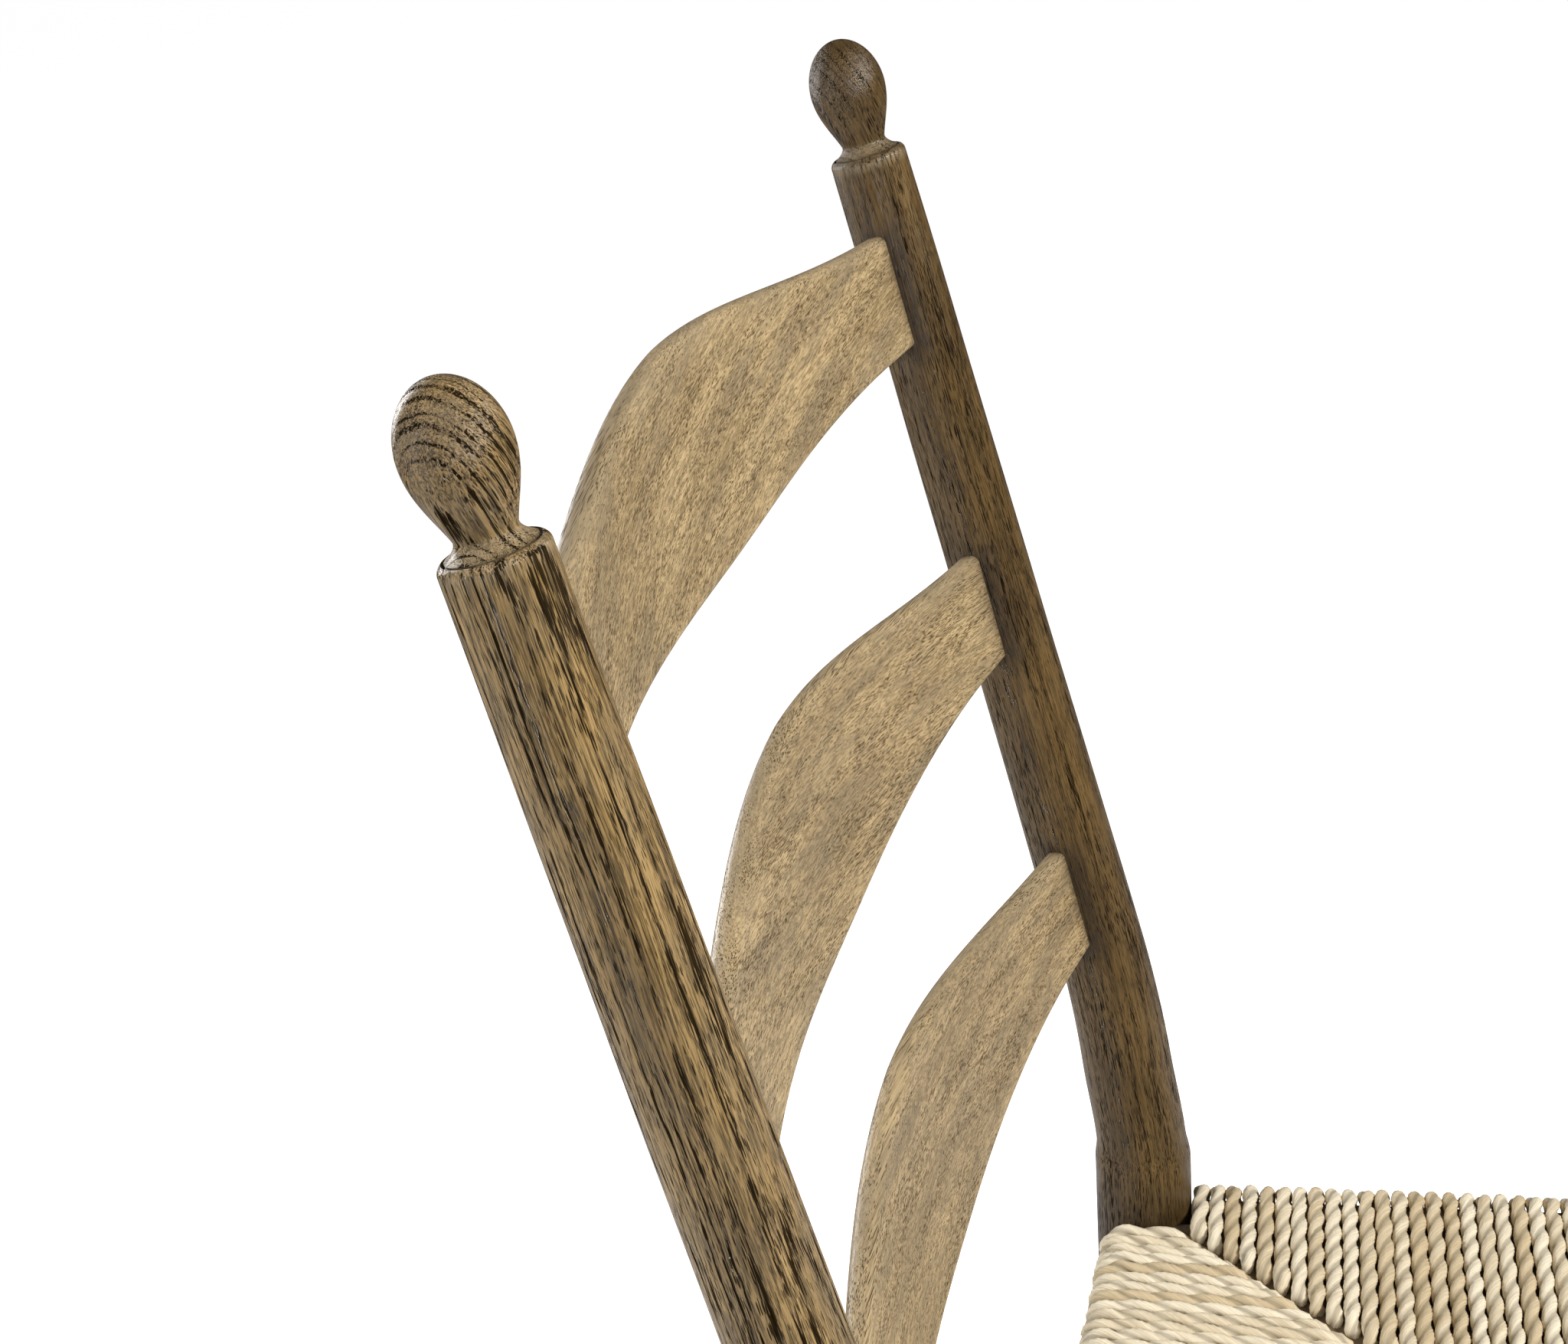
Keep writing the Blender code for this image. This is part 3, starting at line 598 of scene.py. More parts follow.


# %% [markdown]
# ## The back posts
# Each back post is one long turning: a leg up to the seat, a swelling called the knuckle just
# above it, a slim tapering upright, and an egg-shaped finial on a cove and a bead. After turning
# it is steamed and bent backwards above the seat, and the pair is splayed. The upright could also
# be a curve with a bevel, but a turning's radius changes all the way up, and a profile holds
# that. The feet's places come from the CAD glides, and the other sizes are the ones that the CAD
# model was made with.

# %% Sizes of the back posts
rear_foot = sum(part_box("rear_left_glide"), Vector()) / 2
front_foot = sum(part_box("front_left_glide"), Vector()) / 2
POST_X, POST_Y = rear_foot.x, rear_foot.y
LEG_X, LEG_Y = front_foot.x, front_foot.y
SEAT_TOP = 450 * MM
BEND_HEIGHT = SEAT_TOP + 77 * MM
RAKE = math.radians(13.4)
SPLAY = math.tan(math.radians(0.97))
BEND_RADIUS = 536 * MM
TANGENT = BEND_RADIUS * math.tan(RAKE / 2)
BEND_START = BEND_HEIGHT - TANGENT
BEND_END = BEND_START + BEND_RADIUS * RAKE
SET_BACK = 3 * MM
KNUCKLE = BEND_HEIGHT - 42 * MM
KNUCKLE_LENGTH = 12 * MM
SHOULDER = BEND_END + 449 * MM - TANGENT
LEG_BOTTOM = 5.3 * MM
FOOT_TOP = 190 * MM
FOOT_RADIUS, LEG_RADIUS = 17 * MM, 23.2 * MM
KNUCKLE_RADIUS, UPRIGHT_RADIUS, SHOULDER_RADIUS = 21.7 * MM, 20.4 * MM, 16.5 * MM
print("post foot at", round(POST_X, 4), round(POST_Y, 4), "shoulder", round(SHOULDER, 4))

# %% Profile of a foot and of an upright
FOOT_STEPS, POST_STEPS = 40, 480


def leg_radius(height):
    return FOOT_RADIUS + (LEG_RADIUS - FOOT_RADIUS) * math.sin(min(height / FOOT_TOP, 1) * math.pi / 2)


def foot_points():
    points = []
    for i in range(FOOT_STEPS + 1):
        height = max(FOOT_TOP * (1 - i / FOOT_STEPS), LEG_BOTTOM + 2 * MM)
        if not points or points[-1][1] - height > 0.01 * MM:
            points.append((leg_radius(height), height))
    edge = points[-1][0]
    points += [(edge - 0.4 * MM, LEG_BOTTOM + 0.7 * MM), (edge - 1.5 * MM, LEG_BOTTOM)]
    return points + [(edge * 0.5, LEG_BOTTOM), (0, LEG_BOTTOM)]


def upright_radius(s):
    if s > BEND_END:
        return UPRIGHT_RADIUS + (SHOULDER_RADIUS - UPRIGHT_RADIUS) * (s - BEND_END) / (SHOULDER - BEND_END)
    if s > KNUCKLE:
        return KNUCKLE_RADIUS + (UPRIGHT_RADIUS - KNUCKLE_RADIUS) * (s - KNUCKLE) / (BEND_END - KNUCKLE)
    t = min((KNUCKLE - s) / KNUCKLE_LENGTH, 1)
    return KNUCKLE_RADIUS + (LEG_RADIUS - KNUCKLE_RADIUS) * t * t * (3 - 2 * t)


print("foot profile:", len(foot_points()), "points")

# %% Profile of a finial and of a whole post
BEAD_HEIGHT = 3.2 * MM


def finial_points():
    """Egg, neck, cove, quirk line and bead, as (radius, height above the shoulder)."""
    base, egg_height, egg_drop = 7.9 * MM, 44.5 * MM, 21 * MM
    egg, neck, cove = 16.2 * MM, 9.4 * MM, 13.6 * MM
    top = base + egg_height
    points = []
    for i in range(25):
        a = math.pi / 2 * i / 24
        points.append((egg * math.sin(a), top - egg_drop * (1 - math.cos(a))))
    for i in range(1, 25):
        t = i / 24
        radius = neck + (egg - neck) * max(math.cos(t * math.pi / 2), 0) ** 1.15
        points.append((radius, top - egg_drop - (egg_height - egg_drop) * t))
    for i in range(1, 9):
        t = i / 8
        points.append((neck + (cove - neck) * t * t, base + (BEAD_HEIGHT - base) * t))
    points += [(cove + 0.08 * MM, 2.2 * MM), (cove + 0.40 * MM, 1.6 * MM), (cove + 0.76 * MM, 2.2 * MM)]
    for i in range(10):
        a = math.radians(20 + 70 * i / 9)
        points.append((cove + (SHOULDER_RADIUS - cove) * math.sin(a), BEAD_HEIGHT * math.cos(a)))
    return points


def post_profile():
    points = [(r, SHOULDER + h) for r, h in finial_points()]
    for i in range(1, POST_STEPS + 1):
        s = SHOULDER + (FOOT_TOP - SHOULDER) * i / POST_STEPS
        points.append((upright_radius(s), s))
    return points + foot_points()[1:]


print("post profile:", len(post_profile()), "points")

# %% Bend, hand wear and painted shade of a back post
SLAT_LOW, SLAT_PITCH, SLAT_END = 72 * MM, 148.4 * MM, 49.4 * MM
LOW_SLAT_S = BEND_END + SLAT_LOW - TANGENT
HALF_SLAT = 5 * MM


def bent(side, p):
    """Where the straight post's points go: leaning back round the bend, and splayed outwards."""
    x, y, s = p.T
    angle = np.clip((s - BEND_START) / BEND_RADIUS, 0, RAKE)
    above = np.maximum(s - BEND_START, 0)
    beyond = np.maximum(above - BEND_RADIUS * RAKE, 0)
    back = SET_BACK * step(s, KNUCKLE - KNUCKLE_LENGTH, BEND_HEIGHT)
    sin, cos = np.sin(angle), np.cos(angle)
    new_y = BEND_RADIUS * (1 - cos) + beyond * sin + back + y * cos
    new_z = np.minimum(s, BEND_START) + BEND_RADIUS * sin + beyond * cos - y * sin
    return np.stack([side * (POST_X + above * SPLAY) + x, POST_Y + new_y, new_z], 1)


def hand_worn(points, amount, seed):
    """Moves the points in or out from the axis by a slow noise."""
    for p in points:
        shift = noise.noise(Vector((p[0] * 30 + seed, p[1] * 30, p[2] * 14))) * amount
        length = math.hypot(p[0], p[1])
        if length > 0.001 * MM:
            p[0] += p[0] / length * shift
            p[1] += p[1] / length * shift
    return points


def joint_grime(points, inward, slats):
    """How much painted shade each point gets, by its distance from the slats' ends on the post's inward side.
    """
    x, y, s = points.T
    dirt = np.zeros(len(points))
    for low, high in slats:
        ds = np.maximum(np.maximum(low - s, s - high), 0)
        dy = np.maximum(np.abs(y) - HALF_SLAT, 0)
        near = np.exp(-(np.hypot(ds, dy) / (5.5 * MM)) ** 1.3)
        dirt = np.maximum(dirt, near * (x * inward > 0))
    return dirt


def seat_grime(s, clean):
    """A painted shade: the dark band where a post passes the cords. It has faded out at the height given
    second.
    """
    return (1 - step(s, SEAT_TOP - 4 * MM, clean)) * step(s, SEAT_TOP - 70 * MM, SEAT_TOP - 40 * MM) * 0.8


print("lowest slat starts", round(LOW_SLAT_S, 4), "m along the post")

# %% [markdown]
# ## Wood, hand wear and painted light of the back posts
# A lathe leaves a true surface, but sanding and years of use don't. A little low noise on the
# radius keeps the highlights from being ruler-straight. Painted shade darkens the wood round the
# slats' ends, at the seat and in the quirk, the fine line under the cove, and the egg is made a
# little darker all over. The bead's rim and the cove get a painted highlight. The egg shows wood
# that is cut at a slant, so its grain is tilted and has a place of its own in the tree; the change
# from the post's grain falls in the quirk, where the painted shade covers it. One place for the
# whole post would be simpler, but the rings would then be cut square at the egg's top and make a
# target.

# %% Make both back posts
GRAIN_CHANGE = SHOULDER + BEAD_HEIGHT - 0.1 * MM
QUIRK_RADIUS = 14.0 * MM
EGG_SLANT = 0.5


def make_post(name, node, side, heart, egg_heart, material):
    made = spun(post_profile(), 96)
    points = straight_points(made)
    from_axis = np.hypot(points[:, 0], points[:, 1])
    points = hand_worn(points, 0.35 * MM, side * 7)
    s = points[:, 2]
    starts = [LOW_SLAT_S + SLAT_PITCH * i for i in range(3)]
    # painted shade round the slats' ends, in the quirk and at the seat; the egg is made darker all over
    at_slats = joint_grime(points, -side, [(start, start + SLAT_END) for start in starts])
    in_quirk = np.exp(-(((from_axis - QUIRK_RADIUS) / (0.55 * MM)) ** 2))
    in_quirk = in_quirk * (s > SHOULDER) * (s < SHOULDER + BEAD_HEIGHT + 0.1 * MM)
    on_egg = 0.22 * step(s, SHOULDER + 8 * MM, SHOULDER + 16 * MM)
    grime = np.maximum.reduce([at_slats, in_quirk, seat_grime(s, SEAT_TOP + 22 * MM), on_egg])
    # painted highlights on the bead's rim and on the cove
    on_rim = 0.7 * np.exp(-(((s - SHOULDER + 0.5 * MM) / (1.4 * MM)) ** 2))
    on_cove = 0.75 * np.exp(-(((s - SHOULDER - 5 * MM) / (2.2 * MM)) ** 2))
    share = (s > GRAIN_CHANGE).astype(float)[:, None]
    grain = points + (1 - share) * np.array([*heart, 0]) + share * np.array([*egg_heart, 0])
    grain[:, 0] += share[:, 0] * EGG_SLANT * (s - SHOULDER - 30 * MM)
    wear = np.maximum(on_rim, on_cove)
    finished(name, made, bent(side, points), grain, wear, grime, material, "oak", node)


make_post("far_post", "back_post_left", 1, (0.040, 0.070), (-0.03, 0.05), dark_oak)
make_post("near_post", "back_post_right", -1, (0.022, 0.062), (0.034, -0.006), brown_oak)

# %% [markdown]
# ## The slats
# Three slats are sawn to an ogee top edge and a gently sagging bottom edge, then steamed and
# bowed backwards. A slat's section is a slim loop with rounded corners; spin with no angle and
# a straight step sweeps it along its length. Then each section is stretched to the slat's
# height at its place and pushed back by the bow. Lofting it between ready-made sections would do
# as well, but then each section would be a list of its own.

# %% Shape of a slat
OGEE_RISE, SAG_DEPTH, BOW_DEPTH = 24.5 * MM, 7.9 * MM, 28.3 * MM


def ogee(u):
    """How far the top edge stands above its ends. u is 0 at the middle and 1 at a post."""
    u = np.abs(u)
    ease = np.clip(1 - u / 0.97, 0, 1)
    return OGEE_RISE * (0.83 * ease**2 * (3 - 2 * ease) + 0.17 * np.clip(1 - u, 0, 1) ** 0.8)


def sag(u):
    ease = np.clip(1 - np.abs(u) / 0.82, 0, 1)
    return SAG_DEPTH * ease**2 * (3 - 2 * ease)


def slat_section():
    """(share of the height, offset from it, depth) round the section."""
    top, bottom = 3.8 * MM, 1.8 * MM
    loop = []
    for i in range(9):
        a = math.radians(90 - 90 * i / 8)
        loop.append((1, -top + top * math.sin(a), HALF_SLAT - top + top * math.cos(a)))
    loop += [(1 - i / 26, (-top) * (1 - i / 26) + bottom * (i / 26), HALF_SLAT) for i in range(1, 26)]
    for i in range(7):
        a = math.radians(-90 * i / 6)
        loop.append((0, bottom + bottom * math.sin(a), HALF_SLAT - bottom + bottom * math.cos(a)))
    return loop + [(share, offset, -depth) for share, offset, depth in reversed(loop)]


print("slat section:", len(slat_section()), "points")

# %% Make the slats
SLAT_STEPS = 220
LET_IN = 21.5 * MM
LONG_FIBRE = 0.33  # a slat's pores and fibres are three times as long as a post's


def swept_section(section, reach):
    """The section swept from -reach to reach, its height still a share from 0 to 1."""
    made = bmesh.new()
    loop = [made.verts.new((-reach, depth, share + offset)) for share, offset, depth in section]
    edges = [made.edges.new((loop[i - 1], loop[i])) for i in range(len(loop))]
    pace = (2 * reach / SLAT_STEPS, 0, 0)
    bmesh.ops.spin(
        made, geom=loop + edges, axis=(0, 0, 1), cent=(0, 0, 0), dvec=pace, angle=0, steps=SLAT_STEPS
    )
    bmesh.ops.holes_fill(made, edges=[e for e in made.edges if e.is_boundary])
    bmesh.ops.recalc_face_normals(made, faces=made.faces)
    return made


def make_slat(name, node, index, heart, tilt, lean):
    middle_s = LOW_SLAT_S + SLAT_PITCH * index + SLAT_END / 2
    half_span = POST_X + (middle_s - BEND_START) * SPLAY
    post = upright_radius(middle_s)
    section = np.array(slat_section())
    made = swept_section(section, half_span - post + LET_IN)
    flat = straight_points(made)
    # which point of the section each vertex was swept from
    apart = np.abs(flat[:, None, 2] - (section[:, 0] + section[:, 1])[None, :])
    apart = apart + np.abs(flat[:, None, 1] - section[None, :, 2])
    share, offset, depth = section[np.argmin(apart, axis=1)].T
    # v is the place up the slat and w the depth behind its middle, before it leans with the posts
    x = flat[:, 0]
    u = x / half_span
    low = SLAT_LOW + SLAT_PITCH * index - sag(u)
    high = SLAT_LOW + SLAT_PITCH * index + SLAT_END + ogee(u)
    v = low + (high - low) * share + offset
    ripple = np.array([noise.noise(Vector((a * 9, b * 16, index * 5.1))) for a, b in zip(x, v)])
    w = depth + ripple * 0.35 * MM
    bow = BOW_DEPTH * (1 - np.clip(np.abs(u), 0, 1) ** 2)
    up, back = np.array([0, math.sin(RAKE), math.cos(RAKE)]), np.array([0, math.cos(RAKE), -math.sin(RAKE)])
    base = np.array([0, POST_Y + SET_BACK, BEND_HEIGHT])
    places = base + np.outer(x, (1, 0, 0)) + np.outer(v, up) + np.outer(w + bow, back)
    grain = np.stack([v + heart[0] + x * tilt, w + heart[1] + x * lean, LONG_FIBRE * x + index * 0.7], 1)
    # painted shade towards the ends that go into the posts; paler towards the top edge, and in a narrower
    # band at the bottom edge
    grime = np.exp(-np.maximum(half_span - post - np.abs(x), 0) / (4 * MM))
    wear = np.exp(-np.minimum(high - v, 3 * (v - low)) / (5 * MM)) * 0.8
    finished(name, made, places, grain, wear, grime, tan_oak, "oak_pale", node)


make_slat("lower_slat", "bottom_slat", 0, (-0.012 - SLAT_LOW, 0.035), 0.03, 0.11)
make_slat("centre_slat", "middle_slat", 1, (-0.045 - SLAT_LOW - SLAT_PITCH, 0.030), 0.12, -0.08)
make_slat("upper_slat", "top_slat", 2, (0.020 - SLAT_LOW - 2 * SLAT_PITCH, 0.040), -0.16, 0.10)

# %% [markdown]
# ## Front legs
# The front legs are plain turnings that stop just above the rush in a low dome. A cylinder with a
# bevelled end would be nearly the same, but the foot tapers in a curve, so a leg is spun from a
# profile that ends in the back posts' foot.

# %% Make the front legs
DOME_HEIGHT = 9 * MM
LEG_TOP = SEAT_TOP + 17 * MM


def front_leg_profile():
    rim = LEG_TOP - DOME_HEIGHT
    points = []
    for i in range(17):
        a = math.pi / 2 * i / 16
        points.append((LEG_RADIUS * math.sin(a), LEG_TOP - DOME_HEIGHT * (1 - math.cos(a))))
    points += [(LEG_RADIUS, rim + (FOOT_TOP - rim) * i / 120) for i in range(1, 121)]
    return points + foot_points()[1:]


def make_front_leg(name, node, side, heart):
    made = spun(front_leg_profile(), 72)
    points = hand_worn(straight_points(made), 0.35 * MM, 20 + side)
    s = points[:, 2]
    # painted shade where the leg passes the cords, darker towards the foot, and paler on the dome
    grime = np.maximum(seat_grime(s, SEAT_TOP + 9 * MM), 0.5 * (1 - step(s, 0, 40 * MM)))
    wear = 0.8 * step(s, SEAT_TOP + 9 * MM, SEAT_TOP + 14 * MM)
    places = points + np.array([side * LEG_X, LEG_Y, 0])
    finished(name, made, places, points + np.array([*heart, 0]), wear, grime, brown_oak, "oak", node)


make_front_leg("left_front_post", "front_leg_left", 1, (0.05, 0.06))
make_front_leg("right_front_post", "front_leg_right", -1, (0.03, -0.07))

# %% [markdown]
# ## Stretchers
# Seven turned stretchers tie the legs together, thick in the middle and slimmer where they enter
# the legs. Each is one spun profile, made upright and then turned to lie between its two legs.
# Their lengths all differ, so copies of one stretcher wouldn't do, while a profile that is worked
# out from the two ends fits each of them.

# %% Make the stretchers
STRETCHER, STRETCHER_END, TENON = 12 * MM, 8.7 * MM, 7.5 * MM
TAPER = 62 * MM
CHAMFER = 0.6 * MM
TENON_LENGTH = 17.5 * MM


def stretcher_profile(half, tip):
    """From the tip of one tenon to the tip of the other. half is half of the length in view."""
    profile = [(0, tip), (TENON - 1 * MM, tip), (TENON, tip - 1 * MM), (TENON, half + 0.2 * MM)]
    profile += [(STRETCHER_END - 0.4 * MM, half), (STRETCHER_END, half - CHAMFER)]
    for i in range(1, 25):
        swell = math.sin(i / 24 * math.pi / 2)
        profile.append((STRETCHER_END + (STRETCHER - STRETCHER_END) * swell, half - CHAMFER - TAPER * i / 24))
    inner = half - CHAMFER - TAPER
    profile += [(STRETCHER, inner * (1 - i / 20)) for i in range(1, 21)]
    return profile + [(r, -z) for r, z in reversed(profile[:-1])]


def make_stretcher(node, start, end, height, heart):
    start, end = Vector((*start, height)), Vector((*end, height))
    to_leg = (end - start).length / 2 - leg_radius(height)
    half = to_leg - 0.3 * MM
    made = spun(stretcher_profile(half, to_leg + TENON_LENGTH), 40)
    points = hand_worn(straight_points(made), 0.3 * MM, heart[0] * 900)
    turn = np.array((end - start).to_track_quat("Z", "Y").to_matrix())
    places = points @ turn.T + np.array((start + end) / 2)
    from_middle = np.abs(points[:, 2])
    # painted shade towards the ends that go into the legs; paler in the middle
    grime = np.exp(-np.maximum(half - from_middle, 0) / (4 * MM))
    wear = 0.35 * (1 - step(from_middle, half * 0.4, half * 0.8))
    grain = points + np.array([*heart, heart[0] * 9])
    finished(node + "_turned", made, places, grain, wear, grime, brown_oak, "oak", node)


rear_ends = ((-POST_X, POST_Y), (POST_X, POST_Y))
front_ends = ((-LEG_X, LEG_Y), (LEG_X, LEG_Y))
make_stretcher("rear_stretcher", *rear_ends, 200 * MM, (0.031, 0.05))
for level, front_height, side_height in (("lower", 165 * MM, 130 * MM), ("upper", 300 * MM, 265 * MM)):
    make_stretcher("front_stretcher_" + level, *front_ends, front_height, (0.02 + front_height / 10, 0.045))
    for side, word in ((1, "left"), (-1, "right")):
        ends = ((side * POST_X, POST_Y), (side * LEG_X, LEG_Y))
        make_stretcher(f"{word}_stretcher_{level}", *ends, side_height, (0.045, side * side_height / 4))

# %% [markdown]
# ## Glides
# A nailed glide under each foot keeps it off the floor: a moulded nylon button with rounded edges,
# on a short steel nail that is hidden in the leg. The CAD part has the same outline, but with few
# sides; this one is spun again with 48, and its edges are rounded in the profile.

# %% Make the glides
GLIDE_RADIUS, GLIDE_TOP, NAIL_RADIUS = 12 * MM, 5 * MM, 1.4 * MM
ROUND = 1.2 * MM
nylon = plain_material("nylon", (0.05, 0.045, 0.04), 0.45)


def glide_profile():
    profile = [(0, 21.3 * MM), (NAIL_RADIUS / 2, 19.4 * MM), (NAIL_RADIUS, 18.5 * MM)]
    profile += [(NAIL_RADIUS, GLIDE_TOP), (10.6 * MM, GLIDE_TOP)]
    for a in (0.5, 1.0, 1.5):
        profile.append((GLIDE_RADIUS - ROUND * (1 - math.sin(a)), GLIDE_TOP - ROUND + ROUND * math.cos(a)))
    for a in (0, 0.5, 1.0):
        profile.append((GLIDE_RADIUS - ROUND * (1 - math.cos(a)), ROUND - ROUND * math.sin(a)))
    return profile + [(GLIDE_RADIUS - ROUND, 0), (GLIDE_RADIUS / 2, 0), (0, 0)]


def make_glide(node):
    low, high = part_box(node)
    middle = np.array([(low.x + high.x) / 2, (low.y + high.y) / 2, 0])
    made = spun(glide_profile(), 48)
    points = straight_points(made)
    nothing = np.zeros(len(points))
    finished(node + "_moulded", made, points + middle, points, nothing, nothing, nylon, "nylon", node)


for corner in ("rear_left", "rear_right", "front_left", "front_right"):
    make_glide(corner + "_glide")

# %% [markdown]
# ## Rush
# Rush is a marsh grass. A seat maker twists two or three damp leaves together while winding, so
# each cord is a two-ply rope about 8 mm thick with fine ribs along its leaves. The cords' own
# attributes drive the finish: lay says where a point is in its cord, across and along, so the
# ribs twist with it; leaf is a number between 0 and 1 that differs from cord to cord; and a third
# is 1 between the two plies, where the cord gets a painted shade. A pattern on Object coordinates
# would be simpler, but its ribs would run straight across the twist.

# %% Fibres of a grass leaf
rush_tree, rush_in, rush_out = group(
    "Rush fibre",
    [("Lay", "Vector", None), ("Leaf", "Float", 0.5)],
    [("Tone", "Float"), ("Rib", "Float"), ("Stain", "Float")],
)


def build_rush_fibre(tree, given, made):
    own_place = box(tree, "CombineXYZ")
    feed(tree, own_place.inputs[2], times(tree, given["Leaf"], 37.0))
    place = vector_maths(tree, "ADD", given["Lay"], own_place.outputs[0])
    wide = cloud(tree, stretched(tree, place, (420, 420, 14)), 2, 0.5)
    flecks = cloud(tree, stretched(tree, place, (900, 900, 70)), 3, 0.7)
    feed(tree, made["Rib"], cloud(tree, stretched(tree, place, (2600, 2600, 60)), 2, 0.6))
    feed(tree, made["Tone"], plus(tree, times(tree, given["Leaf"], 0.45), times(tree, wide, 0.55)))
    feed(tree, made["Stain"], ramp(tree, flecks, 0.60, 0.76))


build_rush_fibre(rush_tree, rush_in, rush_out)
print("rush group:", len(rush_tree.nodes), "nodes")

# %% Build the rush materials


def rush_material(name, dark, pale, stain, strength):
    material = bpy.data.materials.new(name)
    material.use_nodes = True
    tree = material.node_tree
    shader = tree.nodes["Principled BSDF"]
    leaf = placed(tree, "Rush fibre", Lay=attribute(tree, "lay"), Leaf=attribute(tree, "leaf", "Fac"))
    colour = mixed(tree, ramp(tree, leaf["Tone"], 0.25, 0.75), (*dark, 1), (*pale, 1))
    colour = shaded(tree, colour, ramp(tree, leaf["Rib"], 0.3, 0.7, 0.80, 1.12))
    colour = mixed(tree, times(tree, leaf["Stain"], 0.45), colour, (*stain, 1))
    # painted shade in the crease between the two plies
    groove = attribute(tree, "groove", "Fac")
    colour = mixed(tree, times(tree, groove, 0.48), colour, (*(c * 0.28 for c in stain), 1))
    feed(tree, shader.inputs["Base Color"], colour)
    shader.inputs["Roughness"].default_value = 0.55
    shader.inputs["Specular IOR Level"].default_value = 0.35
    bump = box(tree, "Bump")
    bump.inputs["Strength"].default_value = strength
    bump.inputs["Distance"].default_value = 0.4 * MM
    feed(tree, bump.inputs["Height"], leaf["Rib"])
    feed(tree, shader.inputs["Normal"], bump.outputs[0])
    return material


cord_rush = rush_material("cord_rush", (0.62, 0.49, 0.30), (0.86, 0.76, 0.57), (0.38, 0.28, 0.14), 0.8)
# the packing's finish is the cord rush made dark: a painted shade between the cords
packed_rush = rush_material("packed_rush", (0.16, 0.11, 0.055), (0.30, 0.22, 0.12), (0.10, 0.07, 0.035), 1.0)
print("rush materials:", [m.name for m in (cord_rush, packed_rush)])

# %% [markdown]
# ## Winding the seat
# The cord goes over a rail, round it, under the seat and up through the middle, then over the next
# rail. Along each rail the turns lie side by side. Where the turns from two rails meet, on a line
# from each corner to the middle, each dives between the others, which makes the four wedges of a
# rush seat. The cord rises a little towards the middle, where the packing is thickest.
# A curve with a two-lobed section as its bevel draws each turn: its tilt grows along the
# turn, which twists the two plies. Modelling one turn and arraying it isn't enough,
# because every turn has its own length.

# %% Plan of the seat
HALF_DEPTH = (POST_Y - LEG_Y) / 2
MIDDLE_Y = (POST_Y + LEG_Y) / 2
RAIL_TOP, RAIL_RADIUS = SEAT_TOP - 8 * MM, 15 * MM
APEX_X = (POST_X + LEG_X) / 2 - HALF_DEPTH
corners = {"rear": (POST_X, POST_Y), "front": (LEG_X, LEG_Y)}
TURNS = 22
CORD = 8.0 * MM
FIRST_TURN = 27.6 * MM
first_share = FIRST_TURN / HALF_DEPTH
share_step = (1 - first_share) / (TURNS - 0.5)
RISE = 6 * MM
print("turns a corner:", TURNS, "side pitch", round(share_step * HALF_DEPTH / MM, 2), "mm")

# %% One turn of cord
FLAT = 4 * MM  # the cord runs level as far as this inside the rail
SPACING = 3.2 * MM
DIVE = 10 * MM


def turn_line(inner, lift, over, rng):
    """(outward, height) points of one turn, from its lower dive to its upper one."""
    corner = 7 * MM + CORD / 2
    half = RAIL_RADIUS + CORD / 2
    centre = RAIL_TOP - RAIL_RADIUS + lift
    slope = RISE / (HALF_DEPTH - FLAT)
    reach = inner + (3.5 * MM if over else -2.5 * MM)
    soft = 7 * MM if over else 11 * MM
    wave = rng.uniform(-0.5, 0.5) * MM

    def away_from_rail(o):
        """How far the cord stands off the rail's level, above it or below it alike."""
        drop = max(0, (-o - (reach - soft)) / soft)
        return half + slope * max(-o - FLAT, 0) - DIVE * drop**2.2

    steps = max(4, int((reach - FLAT) / SPACING))
    line = [(-reach + (reach - FLAT) * i / steps) for i in range(steps + 1)]
    points = [(o, centre - away_from_rail(o)) for o in line]
    for start, sign in ((-90, -1), (0, 1)):
        for angle in range(start, start + 91, 15):
            a = math.radians(angle)
            up = centre + sign * (half - corner) + corner * math.sin(a)
            points.append((FLAT + corner * math.cos(a), up))
    points += [(o, centre + away_from_rail(o) + wave * math.sin(o * 55)) for o in reversed(line)]
    return points


def cord_section():
    data = bpy.data.curves.new("cord_section", "CURVE")
    ring = data.splines.new("POLY")
    sides = 14
    ring.points.add(sides - 1)
    for i, point in enumerate(ring.points):
        a = math.tau * i / sides
        r = CORD / 2 * (0.62 + 0.42 * abs(math.cos(a)) ** 0.9)
        point.co = (r * math.cos(a), r * math.sin(a), 0, 1)
    ring.use_cyclic_u = True
    section = bpy.data.objects.new("cord_section", data)
    bpy.context.scene.collection.objects.link(section)
    return section, [tuple(p.co[:2]) for p in ring.points]


section_object, section_points = cord_section()
print("cord section:", len(section_points), "points")

# %% Wind one wedge


